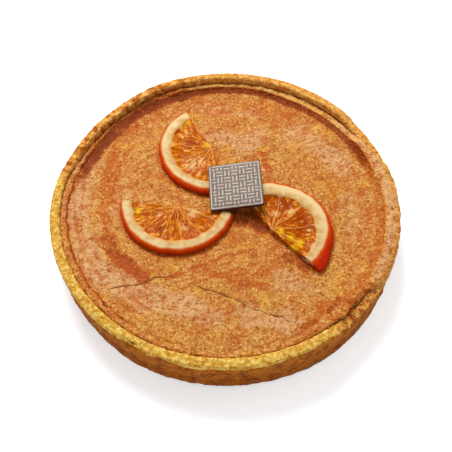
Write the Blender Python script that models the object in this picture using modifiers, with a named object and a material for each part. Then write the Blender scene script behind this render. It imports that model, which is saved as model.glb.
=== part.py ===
"""Gateau basque, 22 cm across, with three candied orange slices and a chocolate plaque.

The cake is a deep shortcrust case with a thick uneven rim, and a pastry lid that lies in
it. At the back the lid's edge stands up inside the rim as a low ridge, at the front it is
nearly level with the rim, and on the right it laps over the rim. The cake is uncut, so it
is solid. Three half slices of candied orange lie on the lid, and a square of chocolate
rests on their inner ends.

Metres, +Z up, origin at the middle of the underside. The front of the cake is at -Y.
Angles are measured in degrees from +X towards +Y.
"""

import math
import random

import bmesh
import bpy
from mathutils import Matrix, Vector

MM = 0.001
GAP = 0.3 * MM

# The case
CAKE_RADIUS = 110.2 * MM
BASE_RADIUS = 109.4 * MM
FRONT_FOOT_ANGLE = -86.0
FRONT_FOOT_HALF_WIDTH = 30.0
FRONT_FOOT_FADE = 25.0
FRONT_FOOT_SPREAD = 1.3 * MM
RIM_HEIGHT = 29.4 * MM
RIM_WIDTH = 6.2 * MM
RIM_SHOULDER = 1.6 * MM
FOOT_ROUNDING = 1.4 * MM
RIM_UNEVENNESS = 0.35 * MM
SIDE_UNEVENNESS = 0.45 * MM
FLAT_ANGLE = 147.0
FLAT_HALF_WIDTH = 8.0
FLAT_FADE = 24.0
FLAT_DEPTH = 2.0 * MM
NOTCH_ANGLE = -119.0
NOTCH_HALF_WIDTH = 4.5
NOTCH_DEPTH = 1.3 * MM
ROUND_STEPS = 120

# Each hand-made edge has waves of its own
WAVES_ROUND_AN_EDGE = (2, 3, 5, 9, 14, 23)
RIM_TOP_SEED = 3
FOOT_SEED = 5
SIDE_SEED = 6
WALL_SEED = 7
RIDGE_SEED = 11

# The lid: a slightly sloping disc, lower at the back than at the front
LID_MIDDLE_HEIGHT = 25.3 * MM
LID_SLOPE = math.radians(1.75)
LID_THICKNESS = 4.0 * MM
RIDGE_WIDTH = 3.2 * MM
RIDGE_SLOPE_WIDTH = 4.0 * MM
BACK_RIDGE_DROP = 4.4 * MM
FRONT_RIDGE_DROP = 0.9 * MM
BACK_RIDGE_ANGLE = 85.0
BACK_RIDGE_HALF_WIDTH = 45.0
BACK_RIDGE_FADE = 75.0

# Where the lid laps over the rim
LAP_MIDDLE = -8.0
RIM_CUT_HALF_WIDTH = 42.0
CLIMB_HALF_WIDTH = 34.0
CLIMB_FADE = 8.0
REACH_HALF_WIDTH = 20.0
REACH_FADE = 14.0
LAP_REACH = 5.4 * MM
LAP_EDGE_THICKNESS = 2.2 * MM
LAP_TOP_DROP = 0.5 * MM

# The candied orange slices
SLICE_THICKNESS = 4.2 * MM
SLICE_STEPS = 28
SLICE_UNEVENNESS = 0.25 * MM
RIND_WIDTH = 2.0 * MM
PITH_WIDTH = 5.6 * MM
FLESH_SINK = 0.9 * MM

# Each slice: middle of the round orange and its radius, the core where the cut passes, the
# direction of its first end and the turn to its other end, how far the peel slants out
# towards the lid and how much more at its first end, which is drawn out by as much, how far
# the other end curls up, and the seed of its uneven peel
SLICES = {
    "orange_slice_back": {
        "middle": (-6.3 * MM, 43.8 * MM),
        "radius": 38.4 * MM,
        "core": (-9.2 * MM, 42.4 * MM),
        "starts": 120.2,
        "sweep": 168.0,
        "peel_slant": 0.9 * MM,
        "tip_slant": 0.0,
        "curl": 0.0,
        "seed": 384,
    },
    "orange_slice_left": {
        "middle": (-30.3 * MM, -2.6 * MM),
        "radius": 36.3 * MM,
        "core": (-30.7 * MM, -5.6 * MM),
        "starts": 172.0,
        "sweep": 180.0,
        "peel_slant": 0.4 * MM,
        "tip_slant": 0.0,
        "curl": 0.0,
        "seed": 363,
    },
    "orange_slice_right": {
        "middle": (29.2 * MM, -22.6 * MM),
        "radius": 36.8 * MM,
        "core": (27.9 * MM, -22.6 * MM),
        "starts": -45.5,
        "sweep": 168.1,
        "peel_slant": 3.4 * MM,
        "tip_slant": 2.4 * MM,
        "curl": 2.5 * MM,
        "seed": 368,
    },
}
TIP_FADE = 30.0
CURL_START = 12.0 * MM
CURL_LENGTH = 22.0 * MM

# The chocolate plaque
PLAQUE_SIDE = 33.5 * MM
PLAQUE_THICKNESS = 2.0 * MM
PLAQUE_BEVEL = 0.3 * MM
PLAQUE_MIDDLE = (6.2 * MM, 7.8 * MM, 33.3 * MM)
PLAQUE_TURN = 3.4
PLAQUE_LEAN_BACK = 1.4
PLAQUE_LEAN_LEFT = -8.0


def smooth_step(x):
    """0 below 0, 1 above 1, and an even slope between."""
    x = min(max(x, 0.0), 1.0)
    return x * x * (3.0 - 2.0 * x)


def angle_from(angle, middle):
    """Degrees between two directions, from -180 to 180."""
    return (angle - middle + 180.0) % 360.0 - 180.0


def hill(angle, middle, half_width, fade):
    """1 within half_width of the middle direction, falling to 0 over the fade beyond it."""
    away = abs(angle_from(angle, middle))
    return 1.0 - smooth_step((away - half_width) / fade)


def uneven(angle, size, seed):
    """A hand-made edge: a sum of a few waves with seeded phases, about size high at its peaks."""
    source = random.Random(seed)
    total = 0.0
    highest = 0.0
    for waves in WAVES_ROUND_AN_EDGE:
        phase = source.uniform(0.0, math.tau)
        total += math.sin(waves * math.radians(angle) + phase) / math.sqrt(waves)
        highest += 1.0 / math.sqrt(waves)
    return size * total / (0.7 * highest)


def lid_height(x, y):
    """Height of the lid's sloping top surface."""
    return LID_MIDDLE_HEIGHT - math.tan(LID_SLOPE) * y


def lap_reach(angle):
    """How far the lid's edge runs out over the rim, from 0 to 1."""
    return hill(angle, LAP_MIDDLE, REACH_HALF_WIDTH, REACH_FADE)


def lap_climb(angle):
    """How far the lid's edge has climbed above the rim, which it does before it runs out."""
    return hill(angle, LAP_MIDDLE, CLIMB_HALF_WIDTH, CLIMB_FADE)


def rim_cut_down(angle):
    """How far the rim is pressed down to let the lid climb over it."""
    return hill(angle, LAP_MIDDLE, RIM_CUT_HALF_WIDTH, CLIMB_FADE)


def flat(angle):
    """How far the cake's side is pushed in at the back left, where it isn't round."""
    return FLAT_DEPTH * hill(angle, FLAT_ANGLE, FLAT_HALF_WIDTH, FLAT_FADE)


def wall_radius(angle):
    """Radius of the rim's inner face."""
    return CAKE_RADIUS - RIM_WIDTH - flat(angle) + uneven(angle, 0.5 * RIM_UNEVENNESS, WALL_SEED)


def rim_top(angle):
    """Height of the rim's top."""
    pressed = (LAP_EDGE_THICKNESS + LAP_TOP_DROP + GAP) * rim_cut_down(angle)
    return RIM_HEIGHT + uneven(angle, RIM_UNEVENNESS, RIM_TOP_SEED) - pressed


def ridge_height(angle):
    """Height of the lid's own edge."""
    back = hill(angle, BACK_RIDGE_ANGLE, BACK_RIDGE_HALF_WIDTH, BACK_RIDGE_FADE)
    drop = FRONT_RIDGE_DROP + (BACK_RIDGE_DROP - FRONT_RIDGE_DROP) * back
    inside = RIM_HEIGHT - drop + uneven(angle, 0.6 * RIM_UNEVENNESS, RIDGE_SEED)
    over = rim_top(angle) + GAP + LAP_EDGE_THICKNESS
    return inside + (over - inside) * lap_climb(angle)


def shell_section(angle):
    """Outline of the case from the middle of its foot round the rim to the lid's seat."""
    outer = CAKE_RADIUS - flat(angle) + uneven(angle, 0.6 * SIDE_UNEVENNESS, SIDE_SEED)
    spread = FRONT_FOOT_SPREAD * hill(
        angle, FRONT_FOOT_ANGLE, FRONT_FOOT_HALF_WIDTH, FRONT_FOOT_FADE
    )
    foot = BASE_RADIUS + spread - flat(angle) + uneven(angle, SIDE_UNEVENNESS, FOOT_SEED)
    top = rim_top(angle)
    notch = NOTCH_DEPTH * hill(angle, NOTCH_ANGLE, 0.0, NOTCH_HALF_WIDTH)
    inner = wall_radius(angle)
    seat_y = inner * math.sin(math.radians(angle))
    seat = lid_height(0.0, seat_y) - LID_THICKNESS - GAP
    return [
        (0.5 * BASE_RADIUS, 0.0),
        (foot - FOOT_ROUNDING, 0.0),
        (foot, FOOT_ROUNDING),
        (foot + 0.3 * (outer - foot), 0.4 * RIM_HEIGHT),
        (outer - 0.2 * notch, top - 2.2 * RIM_SHOULDER),
        (outer - 0.2 * RIM_SHOULDER - notch, top - RIM_SHOULDER),
        (outer - 0.9 * RIM_SHOULDER - notch, top - 0.25 * RIM_SHOULDER - notch),
        (outer - 0.4 * RIM_WIDTH, top - 0.3 * notch),
        (inner + 0.7 * RIM_SHOULDER, top - 0.1 * RIM_SHOULDER),
        (inner, top - 0.8 * RIM_SHOULDER),
        (inner, seat),
        (0.5 * inner, 0.5 * (seat + LID_MIDDLE_HEIGHT - LID_THICKNESS - GAP)),
    ]


def lid_section(angle):
    """Outline of the lid from the middle of its underside round its edge to its middle."""
    inside = wall_radius(angle) - GAP
    reach = (LAP_REACH + GAP) * lap_reach(angle)
    seat = lid_height(0.0, inside * math.sin(math.radians(angle))) - LID_THICKNESS
    top = ridge_height(angle)
    lap_under = min(rim_top(angle) + GAP, top - 0.5 * LAP_EDGE_THICKNESS)
    ridge_inner = inside - RIDGE_WIDTH
    slope_foot = ridge_inner - RIDGE_SLOPE_WIDTH

    def surface(radius):
        return lid_height(0.0, radius * math.sin(math.radians(angle)))

    foot_height = surface(slope_foot)
    halfway = 0.5 * (top + foot_height) - 0.1 * (top - foot_height)
    return [
        (0.5 * inside, 0.5 * (seat + LID_MIDDLE_HEIGHT - LID_THICKNESS)),
        (inside, seat),
        (inside, lap_under - 0.15 * MM),
        (inside - 0.2 * MM + reach, lap_under),
        (inside - 0.4 * MM + reach, top - 0.45 * MM),
        (inside - 1.1 * MM + 0.9 * reach, top),
        (ridge_inner, top - 0.15 * MM),
        (0.5 * (ridge_inner + slope_foot), halfway),
        (slope_foot, foot_height),
        (0.66 * slope_foot, surface(0.66 * slope_foot)),
        (0.33 * slope_foot, surface(0.33 * slope_foot)),
    ]


def loft_about_axis(name, section_at, foot, crown, sweep=math.tau, steps=ROUND_STEPS):
    """Closed solid whose outline changes as it turns about the Z axis.

    section_at(degrees) gives (radius, height) points from near the foot on the axis to near
    the crown. A sweep under a full turn gets a flat face at each end.
    """
    whole = sweep >= math.tau
    columns = steps if whole else steps + 1
    bm = bmesh.new()
    low = bm.verts.new((0.0, 0.0, foot))
    high = bm.verts.new((0.0, 0.0, crown))
    rings = []
    for i in range(columns):
        angle = sweep * i / steps
        section = section_at(math.degrees(angle))
        ring = [bm.verts.new((r * math.cos(angle), r * math.sin(angle), z)) for r, z in section]
        rings.append(ring)
    for i in range(steps):
        here, there = rings[i], rings[(i + 1) % columns]
        bm.faces.new((low, there[0], here[0]))
        bm.faces.new((high, here[-1], there[-1]))
        for j in range(len(here) - 1):
            bm.faces.new((here[j], there[j], there[j + 1], here[j + 1]))
    if not whole:
        bm.faces.new([low] + rings[0] + [high])
        bm.faces.new([low] + rings[-1] + [high])
    bmesh.ops.recalc_face_normals(bm, faces=bm.faces)
    mesh = bpy.data.meshes.new(name)
    bm.to_mesh(mesh)
    bm.free()
    return mesh


def slice_section(slice_size, angle):
    """Outline of an orange slice on a ray from its core, which is its axis."""
    turn = math.radians(angle + slice_size["starts"])
    middle, core = Vector(slice_size["middle"]), Vector(slice_size["core"])
    away = core - middle
    along = away.dot(Vector((math.cos(turn), math.sin(turn))))
    reach = math.sqrt(along**2 - away.length_squared + slice_size["radius"] ** 2) - along
    reach += uneven(angle, SLICE_UNEVENNESS, slice_size["seed"])
    tip = slice_size["tip_slant"] * (1.0 - smooth_step(angle / TIP_FADE))
    reach += tip
    slant = slice_size["peel_slant"] + tip
    rind_inner = reach - RIND_WIDTH - slant
    pith_inner = rind_inner - PITH_WIDTH
    top = SLICE_THICKNESS
    flesh = top - FLESH_SINK
    curl_reach = -math.cos(math.radians(angle))
    outline = [
        (0.5 * reach, 0.0),
        (reach - 0.5 * MM, 0.0),
        (reach, 0.25 * top),
        (reach - 0.3 * MM - 0.5 * slant, 0.65 * top),
        (rind_inner, 0.94 * top),
        (rind_inner - 1.2 * MM, top),
        (pith_inner + 0.8 * MM, top),
        (pith_inner - 0.6 * MM, flesh + 0.2 * MM),
        (0.6 * pith_inner, flesh),
        (0.3 * pith_inner, flesh),
    ]
    bent = []
    for radius, height in outline:
        lift = smooth_step((radius * curl_reach - CURL_START) / CURL_LENGTH)
        bent.append((radius, height + slice_size["curl"] * lift))
    return bent


def place(obj, location, rotation):
    obj.location = location
    obj.rotation_euler = rotation.to_euler()


def food_material(name, colour, roughness):
    material = bpy.data.materials.new(name)
    material.use_nodes = True
    shader = material.node_tree.nodes["Principled BSDF"]
    shader.inputs["Base Color"].default_value = (*colour, 1.0)
    shader.inputs["Roughness"].default_value = roughness
    shader.inputs["Metallic"].default_value = 0.0
    material.diffuse_color = (*colour, 1.0)
    return material


def add_piece(collection, mesh, material):
    mesh.materials.append(material)
    obj = bpy.data.objects.new(mesh.name, mesh)
    collection.objects.link(obj)
    return obj


def make_shell(collection, material):
    seat_middle = LID_MIDDLE_HEIGHT - LID_THICKNESS - GAP
    mesh = loft_about_axis("pastry_shell", shell_section, 0.0, seat_middle)
    add_piece(collection, mesh, material)


def make_lid(collection, material):
    underside = LID_MIDDLE_HEIGHT - LID_THICKNESS
    mesh = loft_about_axis("pastry_lid", lid_section, underside, LID_MIDDLE_HEIGHT)
    add_piece(collection, mesh, material)


def make_slices(collection, material):
    for name, slice_size in SLICES.items():
        mesh = loft_about_axis(
            name,
            lambda angle, size=slice_size: slice_section(size, angle),
            0.0,
            SLICE_THICKNESS - FLESH_SINK,
            sweep=math.radians(slice_size["sweep"]),
            steps=SLICE_STEPS,
        )
        x, y = slice_size["core"]
        lid_tilt = Matrix.Rotation(-LID_SLOPE, 4, "X")
        turn = Matrix.Rotation(math.radians(slice_size["starts"]), 4, "Z")
        piece = add_piece(collection, mesh, material)
        place(piece, (x, y, lid_height(x, y) + GAP / math.cos(LID_SLOPE)), lid_tilt @ turn)


def make_plaque(collection, material):
    bm = bmesh.new()
    size = Matrix.Diagonal((PLAQUE_SIDE, PLAQUE_SIDE, PLAQUE_THICKNESS, 1.0))
    bmesh.ops.create_cube(bm, size=1.0, matrix=size)
    mesh = bpy.data.meshes.new("chocolate_plaque")
    bm.to_mesh(mesh)
    bm.free()
    plaque = add_piece(collection, mesh, material)
    bevel = plaque.modifiers.new("softened_edges", "BEVEL")
    bevel.width = PLAQUE_BEVEL
    bevel.segments = 2
    turn = Matrix.Rotation(math.radians(PLAQUE_TURN), 4, "Z")
    back = Matrix.Rotation(math.radians(PLAQUE_LEAN_BACK), 4, "X")
    left = Matrix.Rotation(math.radians(PLAQUE_LEAN_LEFT), 4, "Y")
    place(plaque, PLAQUE_MIDDLE, turn @ back @ left)


def main():
    for old in list(bpy.data.objects):
        bpy.data.objects.remove(old, do_unlink=True)
    collection = bpy.data.collections.new("gateau_basque")
    bpy.context.scene.collection.children.link(collection)
    make_shell(collection, food_material("baked_shortcrust", (0.62, 0.33, 0.10), 0.75))
    make_lid(collection, food_material("glazed_lid_pastry", (0.66, 0.32, 0.11), 0.45))
    make_slices(collection, food_material("candied_orange", (0.72, 0.22, 0.03), 0.25))
    make_plaque(collection, food_material("printed_chocolate", (0.24, 0.20, 0.18), 0.35))


main()
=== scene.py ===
# %% [markdown]
# # A gateau basque with candied orange
# This lesson dresses a plain solid model of a cake. The solid model says how big every
# piece is and where it lies, and it never moves. Here each piece gets a new skin with
# crumbs, brush marks, cracks and pulp, and a finish made of shader nodes.
# The whole of that model is loaded first, and its box is kept, so that the dressed cake
# can be compared with it at the end.

# %% Load the solid model
import itertools
import math
import random

import bmesh
import bpy
import numpy as np
from mathutils import Matrix, Vector


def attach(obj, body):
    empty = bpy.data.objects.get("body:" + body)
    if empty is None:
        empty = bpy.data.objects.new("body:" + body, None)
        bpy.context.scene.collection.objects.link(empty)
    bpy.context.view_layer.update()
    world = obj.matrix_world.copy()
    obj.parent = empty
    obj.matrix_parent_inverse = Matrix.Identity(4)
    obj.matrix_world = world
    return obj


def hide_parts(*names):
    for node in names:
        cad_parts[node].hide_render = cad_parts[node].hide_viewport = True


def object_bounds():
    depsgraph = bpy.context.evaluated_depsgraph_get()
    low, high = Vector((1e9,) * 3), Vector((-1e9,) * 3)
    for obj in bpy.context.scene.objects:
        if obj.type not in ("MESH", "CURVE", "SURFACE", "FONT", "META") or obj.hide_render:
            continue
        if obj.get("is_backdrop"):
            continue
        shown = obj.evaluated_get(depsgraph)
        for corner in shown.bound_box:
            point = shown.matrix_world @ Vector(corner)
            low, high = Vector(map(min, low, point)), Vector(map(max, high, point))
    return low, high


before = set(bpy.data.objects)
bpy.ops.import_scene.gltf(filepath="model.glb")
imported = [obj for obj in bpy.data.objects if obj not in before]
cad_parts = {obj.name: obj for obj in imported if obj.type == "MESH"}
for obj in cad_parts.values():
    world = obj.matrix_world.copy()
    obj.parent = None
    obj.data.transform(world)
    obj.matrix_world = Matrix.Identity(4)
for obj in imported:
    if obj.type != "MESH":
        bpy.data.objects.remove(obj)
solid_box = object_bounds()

print("solid model:", sorted(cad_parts), "box", [list(corner) for corner in solid_box])

# %% [markdown]
# ## The camera
# The cake was photographed from above its front, at 58 degrees and quite close, so its near
# rim looks larger than its far rim. A wide lens close by or a long lens far away would show
# the same outline with another perspective. Distance and lens were found by laying the
# rim's circle and the foot's circle over the picture, so both are kept as measured.
# Lengths in this file are in millimetres, and are turned to metres when a mesh is made.

# %% Camera
MM = 0.001
CAMERA_TARGET = (0.2, -19.8, 29.6)
CAMERA_DISTANCE = 400.0
CAMERA_ELEVATION = 58.4
CAMERA_LENS = 51.92


def add_camera():
    """A camera straight in front, at an elevation and distance from its target."""
    up = math.radians(CAMERA_ELEVATION)
    away = Vector((0.0, -math.cos(up), math.sin(up)))
    camera = bpy.data.objects.new("camera", bpy.data.cameras.new("camera"))
    camera.location = (Vector(CAMERA_TARGET) + CAMERA_DISTANCE * away) * MM
    camera.rotation_euler = (math.radians(90.0 - CAMERA_ELEVATION), 0.0, 0.0)
    camera.data.lens = CAMERA_LENS
    camera.data.clip_start = 0.01
    bpy.context.scene.collection.objects.link(camera)
    bpy.context.scene.camera = camera
    return camera


print("camera at", [round(x, 4) for x in add_camera().location])

# %% [markdown]
# ## Steps and hills
# Pastry is never switched on or off: a browned stretch of rim fades in and out. A few
# helpers do all such fading. Rise and fall lead smoothly from 0 to 1 and from 1 to 0. A
# line is 1 on one value and soon 0 beside it. A hill is 1 around one direction of the cake
# and 0 elsewhere. They take whole arrays, one number for each point of a mesh, so no loop
# over points is needed.
# Directions are degrees from +X towards +Y, and the front of the cake is at -Y. A stretch
# of the cake's edge is written as its middle direction, its half width and its fade.


# %% Steps and hills
def smooth_step(x):
    """0 below 0, 1 above 1, and 3x² - 2x³ between."""
    x = np.clip(x, 0.0, 1.0)
    return x * x * (3.0 - 2.0 * x)


def rise(x, start, length):
    """0 up to the start and 1 from a length farther on."""
    return smooth_step((x - start) / length)


def fall(x, start, length):
    """1 up to the start and 0 from a length farther on."""
    return 1.0 - rise(x, start, length)


def line(x, middle, width):
    """1 on the middle and less beside it: a bell curve of the distance over the width."""
    return np.exp(-(((x - middle) / width) ** 2))


def hill(angle, middle, half_width, fade):
    """1 within half_width degrees of the middle direction, falling to 0 over the fade."""
    away = np.abs((angle - middle + 180.0) % 360.0 - 180.0)
    return fall(away, half_width, fade)


def hills(angle, parts):
    """A sum of hills. Each part is a height and a stretch."""
    return sum(height * hill(angle, *stretch) for height, stretch in parts)


print("a hill at 0, 20 and 40 degrees:", hill(np.array([0.0, 20.0, 40.0]), 0.0, 10.0, 20.0))

# %% [markdown]
# ## Lumps and crumbs
# Baked dough is rough at every size: waves as long as a finger, lumps of a few millimetres
# and single crumbs. Blender's Displace modifier could shake the mesh with a texture, but
# here the same numbers also steer the colours, so they are worked out in numpy.
# The first noise blends random values on a lattice and gives soft lumps. The second
# scatters one seed in each lattice cell and measures how near the nearest seed is, which
# gives rounded crumbs with dark creases between them.


# %% Noise in numpy
CELL_FACTORS = (374761393, 668265263, 1440662683)
SEED_FACTOR = 974634777
# Each turn of the mixing: how far the bits are shifted, and a factor
MIXING = ((15, 2246822519), (13, 1664525))
WORD, HALF_WORD = 0xFFFFFFFF, 0xFFFF
CRUMB_REACH = 0.75


def lattice_value(cell, seed):
    """A repeatable number from 0 to 1 for each whole-number cell: its coordinates are
    multiplied by large numbers, added, and their bits mixed."""
    mixed = sum(cell[..., axis] * factor for axis, factor in enumerate(CELL_FACTORS))
    mixed = (mixed + seed * SEED_FACTOR) & WORD
    for shift, factor in MIXING:
        mixed = ((mixed ^ (mixed >> shift)) * factor) & WORD
    return ((mixed ^ (mixed >> 16)) & HALF_WORD) / HALF_WORD


def lumps(points, size, seed):
    """Soft lumps from -1 to 1: the values of the eight corners of a point's cell, each
    weighted by how near that corner is, with the smooth step of each coordinate."""
    cell = np.floor(points / size).astype(np.int64)
    share = smooth_step(points / size - cell)
    total = np.zeros(points.shape[:-1])
    for corner in itertools.product((0, 1), repeat=3):
        weight = np.prod(np.where(corner, share, 1.0 - share), axis=-1)
        total += weight * lattice_value(cell + np.array(corner), seed)
    return 2.0 * total - 1.0


def rough(points, height, size, layers, seed):
    """Layers of lumps of some height, each layer half as large and high as the one before."""
    return height * sum(lumps(points, size / 2**k, seed + k) / 2**k for k in range(layers))


def crumbs(points, size, seed):
    """Rounded crumbs from 0 in the creases to 1 on top: 1 minus the squared distance to the
    nearest seed over its reach, where each cell holds one seed at a random place. Also
    gives that seed's own random number."""
    place = points / size
    cell = np.floor(place).astype(np.int64)
    nearest = np.full(points.shape[:-1], 9.0)
    label = np.zeros(points.shape[:-1])
    for offset in itertools.product((-1, 0, 1), repeat=3):
        corner = cell + np.array(offset)
        scatter = np.stack([lattice_value(corner, seed + k) for k in range(3)], axis=-1)
        away = np.sum((place - corner - scatter) ** 2, axis=-1)
        closer = away < nearest
        nearest = np.where(closer, away, nearest)
        label = np.where(closer, lattice_value(corner, seed + 3), label)
    return np.clip(1.0 - nearest / CRUMB_REACH, 0.0, 1.0), label


WAVES_ROUND_AN_EDGE = (2, 3, 5, 9, 14, 23)
WAVES_MEET = 0.7


def uneven(angle, size, seed):
    """A hand-made edge: sines of a few whole numbers of waves round the cake, each lower
    the more waves it has, with seeded phases. Their crests hardly ever meet, so the sum is
    set against a share of its highest. The solid model uses the same rule."""
    source = random.Random(seed)
    total = 0.0
    highest = 0.0
    for waves in WAVES_ROUND_AN_EDGE:
        phase = source.uniform(0.0, math.tau)
        total = total + np.sin(waves * np.radians(angle) + phase) / math.sqrt(waves)
        highest += 1.0 / math.sqrt(waves)
    return size * total / (WAVES_MEET * highest)


sample = np.random.default_rng(1).uniform(-50.0, 50.0, (2000, 3))
print("lumps spread", round(float(lumps(sample, 5.0, 1).std()), 3))

# %% [markdown]
# ## From outlines to skins
# Nearly every piece here is an outline carried round: the case is turned about the cake's
# middle, and so is the lid. Blender's Screw modifier turns an outline too, but the outline
# would be the same all round, and this cake's isn't. So an outline is given as a few
# points whose radius and height change with the direction, and a smooth curve is passed
# through them. Where many rows are wanted, such as over the rim, the rows are set closer.


# %% Curves through outlines
TINY = 1e-9


def along(outline, place):
    """Points of a smooth curve through an outline. outline is (points, vertices, 2) and place
    says, for each vertex, how many points along it lies. Each stretch is a Hermite curve
    whose two tangents are as long as the stretch and halve the outline's corners."""
    last = len(outline) - 1
    here = np.clip(np.floor(place).astype(int), 0, last - 1)
    share = (place - here)[:, None]
    runs = np.diff(outline, axis=0)
    lengths = np.linalg.norm(runs, axis=-1, keepdims=True) + TINY
    ways = runs / lengths
    corners = np.concatenate([ways[:1], ways[:-1] + ways[1:], ways[-1:]])
    corners /= np.linalg.norm(corners, axis=-1, keepdims=True) + TINY
    column = np.arange(outline.shape[1])
    start, end = outline[here, column], outline[here + 1, column]
    length = lengths[here, column]
    leaves, arrives = corners[here, column] * length, corners[here + 1, column] * length
    square, cube = share**2, share**3
    return (
        (2 * cube - 3 * square + 1) * start
        + (cube - 2 * square + share) * leaves
        + (3 * square - 2 * cube) * end
        + (cube - square) * arrives
    )


def stack_outline(pairs, count):
    """Puts (radius, height) pairs, numbers or arrays, into one array of outlines."""
    return np.stack([np.stack([np.broadcast_to(v, (count,)) for v in p], -1) for p in pairs])


def turned(radius, angle, height):
    """Points at a distance from the middle, in a direction in degrees and at a height."""
    turn = np.radians(angle)
    return np.stack([radius * np.cos(turn), radius * np.sin(turn), height], -1)


def placed(points, matrix):
    """Points moved by a matrix: turned by its 3 by 3 part, then shifted."""
    return points @ np.array(matrix.to_3x3()).T + np.array(matrix.translation)


def rows_between(steps):
    """Places along an outline, with a chosen number of steps on each of its stretches."""
    parts = [k + np.arange(n) / n for k, n in enumerate(steps)]
    return np.concatenate(parts + [np.array([float(len(steps))])])


print("places for 2 and 3 steps:", rows_between((2, 3)).round(2))

# %% [markdown]
# ## Grids of faces
# A skin is a grid of points with four-cornered faces between neighbours. A turned piece is
# a grid of rows and columns whose last column joins the first. Near the middle of a disc
# such columns crowd together, so the lid uses rings of a square grid instead: ring k has 8k
# points, and each ring is pressed from a square to a circle. That keeps the cells alike
# from the middle to the rim.


# %% Grids of faces
NO_AREA = 1e-12


def every_pair(rows, columns):
    """A grid's two numbers for every point, row by row, as two long arrays."""
    return [part.ravel() for part in np.meshgrid(rows, columns, indexing="ij")]


def grid_faces(rows, columns, joined):
    """Faces between neighbouring rows and columns. joined closes the last column."""
    row, column = every_pair(np.arange(rows - 1), np.arange(columns if joined else columns - 1))
    beside = (column + 1) % columns
    corners = (row * columns + column, row * columns + beside)
    corners += ((row + 1) * columns + beside, (row + 1) * columns + column)
    return np.stack(corners, axis=-1)


def square_rings(rings):
    """For each point of a square grid: its ring, and its place on the unit square."""
    side = np.arange(-rings, rings + 1.0)
    y, x = every_pair(side, side)
    ring = np.maximum(np.abs(x), np.abs(y))
    return ring.astype(int), x / np.maximum(ring, 1), y / np.maximum(ring, 1)


def square_to_circle(x, y):
    """Directions in degrees: along each side of the unit square the angle grows evenly."""
    beside = np.abs(x) >= np.abs(y)
    longer = np.where(beside, x, y)
    longer = np.where(longer == 0.0, 1.0, longer)
    eighth = 45.0 * np.where(beside, y, -x) / longer
    quarter = np.where(beside, np.where(x >= 0, 0.0, 180.0), np.where(y >= 0, 90.0, 270.0))
    return quarter + eighth


def slopes(points, rows, columns, joined):
    """Unit normals of a grid: the cross product of its two directions at every point."""
    grid = points.reshape(rows, columns, 3)
    if joined:
        padded = np.concatenate([grid[:, -1:], grid, grid[:, :1]], axis=1)
        across = (padded[:, 2:] - padded[:, :-2]) / 2.0
    else:
        across = np.gradient(grid, axis=1)
    normal = np.cross(across, np.gradient(grid, axis=0)).reshape(-1, 3)
    return normal / (np.linalg.norm(normal, axis=-1, keepdims=True) + NO_AREA)


print("a square grid of 3 rings has", len(square_rings(3)[0]), "points")

# %% [markdown]
# ## From arrays to a piece
# A piece is a mesh with one finish. Its points are written in one go, and the numbers that
# steer its colours, such as how browned each point is, go in as attributes, which shader
# nodes can read. Poles and seams are points in one place, so they are merged, and the
# volume that the faces close in is measured: it is positive when they face outwards.


# %% Make a piece
MERGE_DISTANCE = 1e-7
SHORTEST_EDGE = 1e-8


def make_piece(name, finish, points, faces, numbers):
    """A mesh object from a material, points in millimetres, faces and named arrays."""
    mesh = bpy.data.meshes.new(name)
    mesh.from_pydata((points * MM).tolist(), [], faces.tolist())
    for title, values in numbers.items():
        attribute = mesh.attributes.new(title, "FLOAT", "POINT")
        attribute.data.foreach_set("value", np.asarray(values, np.float32))
    work = bmesh.new()
    work.from_mesh(mesh)
    bmesh.ops.remove_doubles(work, verts=work.verts, dist=MERGE_DISTANCE)
    bmesh.ops.dissolve_degenerate(work, edges=work.edges, dist=SHORTEST_EDGE)
    volume = work.calc_volume(signed=True)
    if volume < 0.0:
        bmesh.ops.reverse_faces(work, faces=work.faces)
    open_edges = sum(not edge.is_manifold for edge in work.edges)
    work.to_mesh(mesh)
    work.free()
    mesh.shade_smooth()
    mesh.materials.append(finish)
    piece = bpy.data.objects.new(name, mesh)
    bpy.context.scene.collection.objects.link(piece)
    triangles = sum(len(polygon.vertices) - 2 for polygon in mesh.polygons)
    print(name, triangles, "triangles,", round(abs(volume) * 1e6, 1), "cm3, open edges", open_edges)
    return piece


# %% [markdown]
# ## Short words for shader nodes
# Every finish below is a tree of nodes that reads the place of a point on the cake. The
# same few nodes come again and again: grains of some size, a soft threshold, a mix of two
# colours. Each gets a short word here, and what a node gives out can be added and
# multiplied like a plain number, so that a finish reads like a recipe.
# Colours are given as on a paint chart, from 0 to 255, and turned into the linear light
# values that shaders work with.


# %% Shader words
GRAIN_ROUGHNESS = 0.55


def paint(red, green, blue):
    """A paint-chart colour as linear light: the sRGB curve undone, with a full alpha."""
    shares = [value / 255.0 for value in (red, green, blue)]
    light = [s / 12.92 if s <= 0.04045 else ((s + 0.055) / 1.055) ** 2.4 for s in shares]
    return (*light, 1.0)


def plug(tree, value, socket):
    """Links a node's value to a socket, or sets the socket to a plain number or colour."""
    if isinstance(value, Value):
        tree.links.new(value.socket, socket)
    else:
        socket.default_value = value


def add_node(tree, kind, inputs, output=0, **choices):
    """Adds a node, makes its choices, fills its inputs and gives out one of its outputs."""
    node = tree.nodes.new("ShaderNode" + kind)
    for title, choice in choices.items():
        setattr(node, title, choice)
    for title, value in inputs.items():
        plug(tree, value, node.inputs[title])
    return Value(tree, node.outputs[output])


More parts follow.
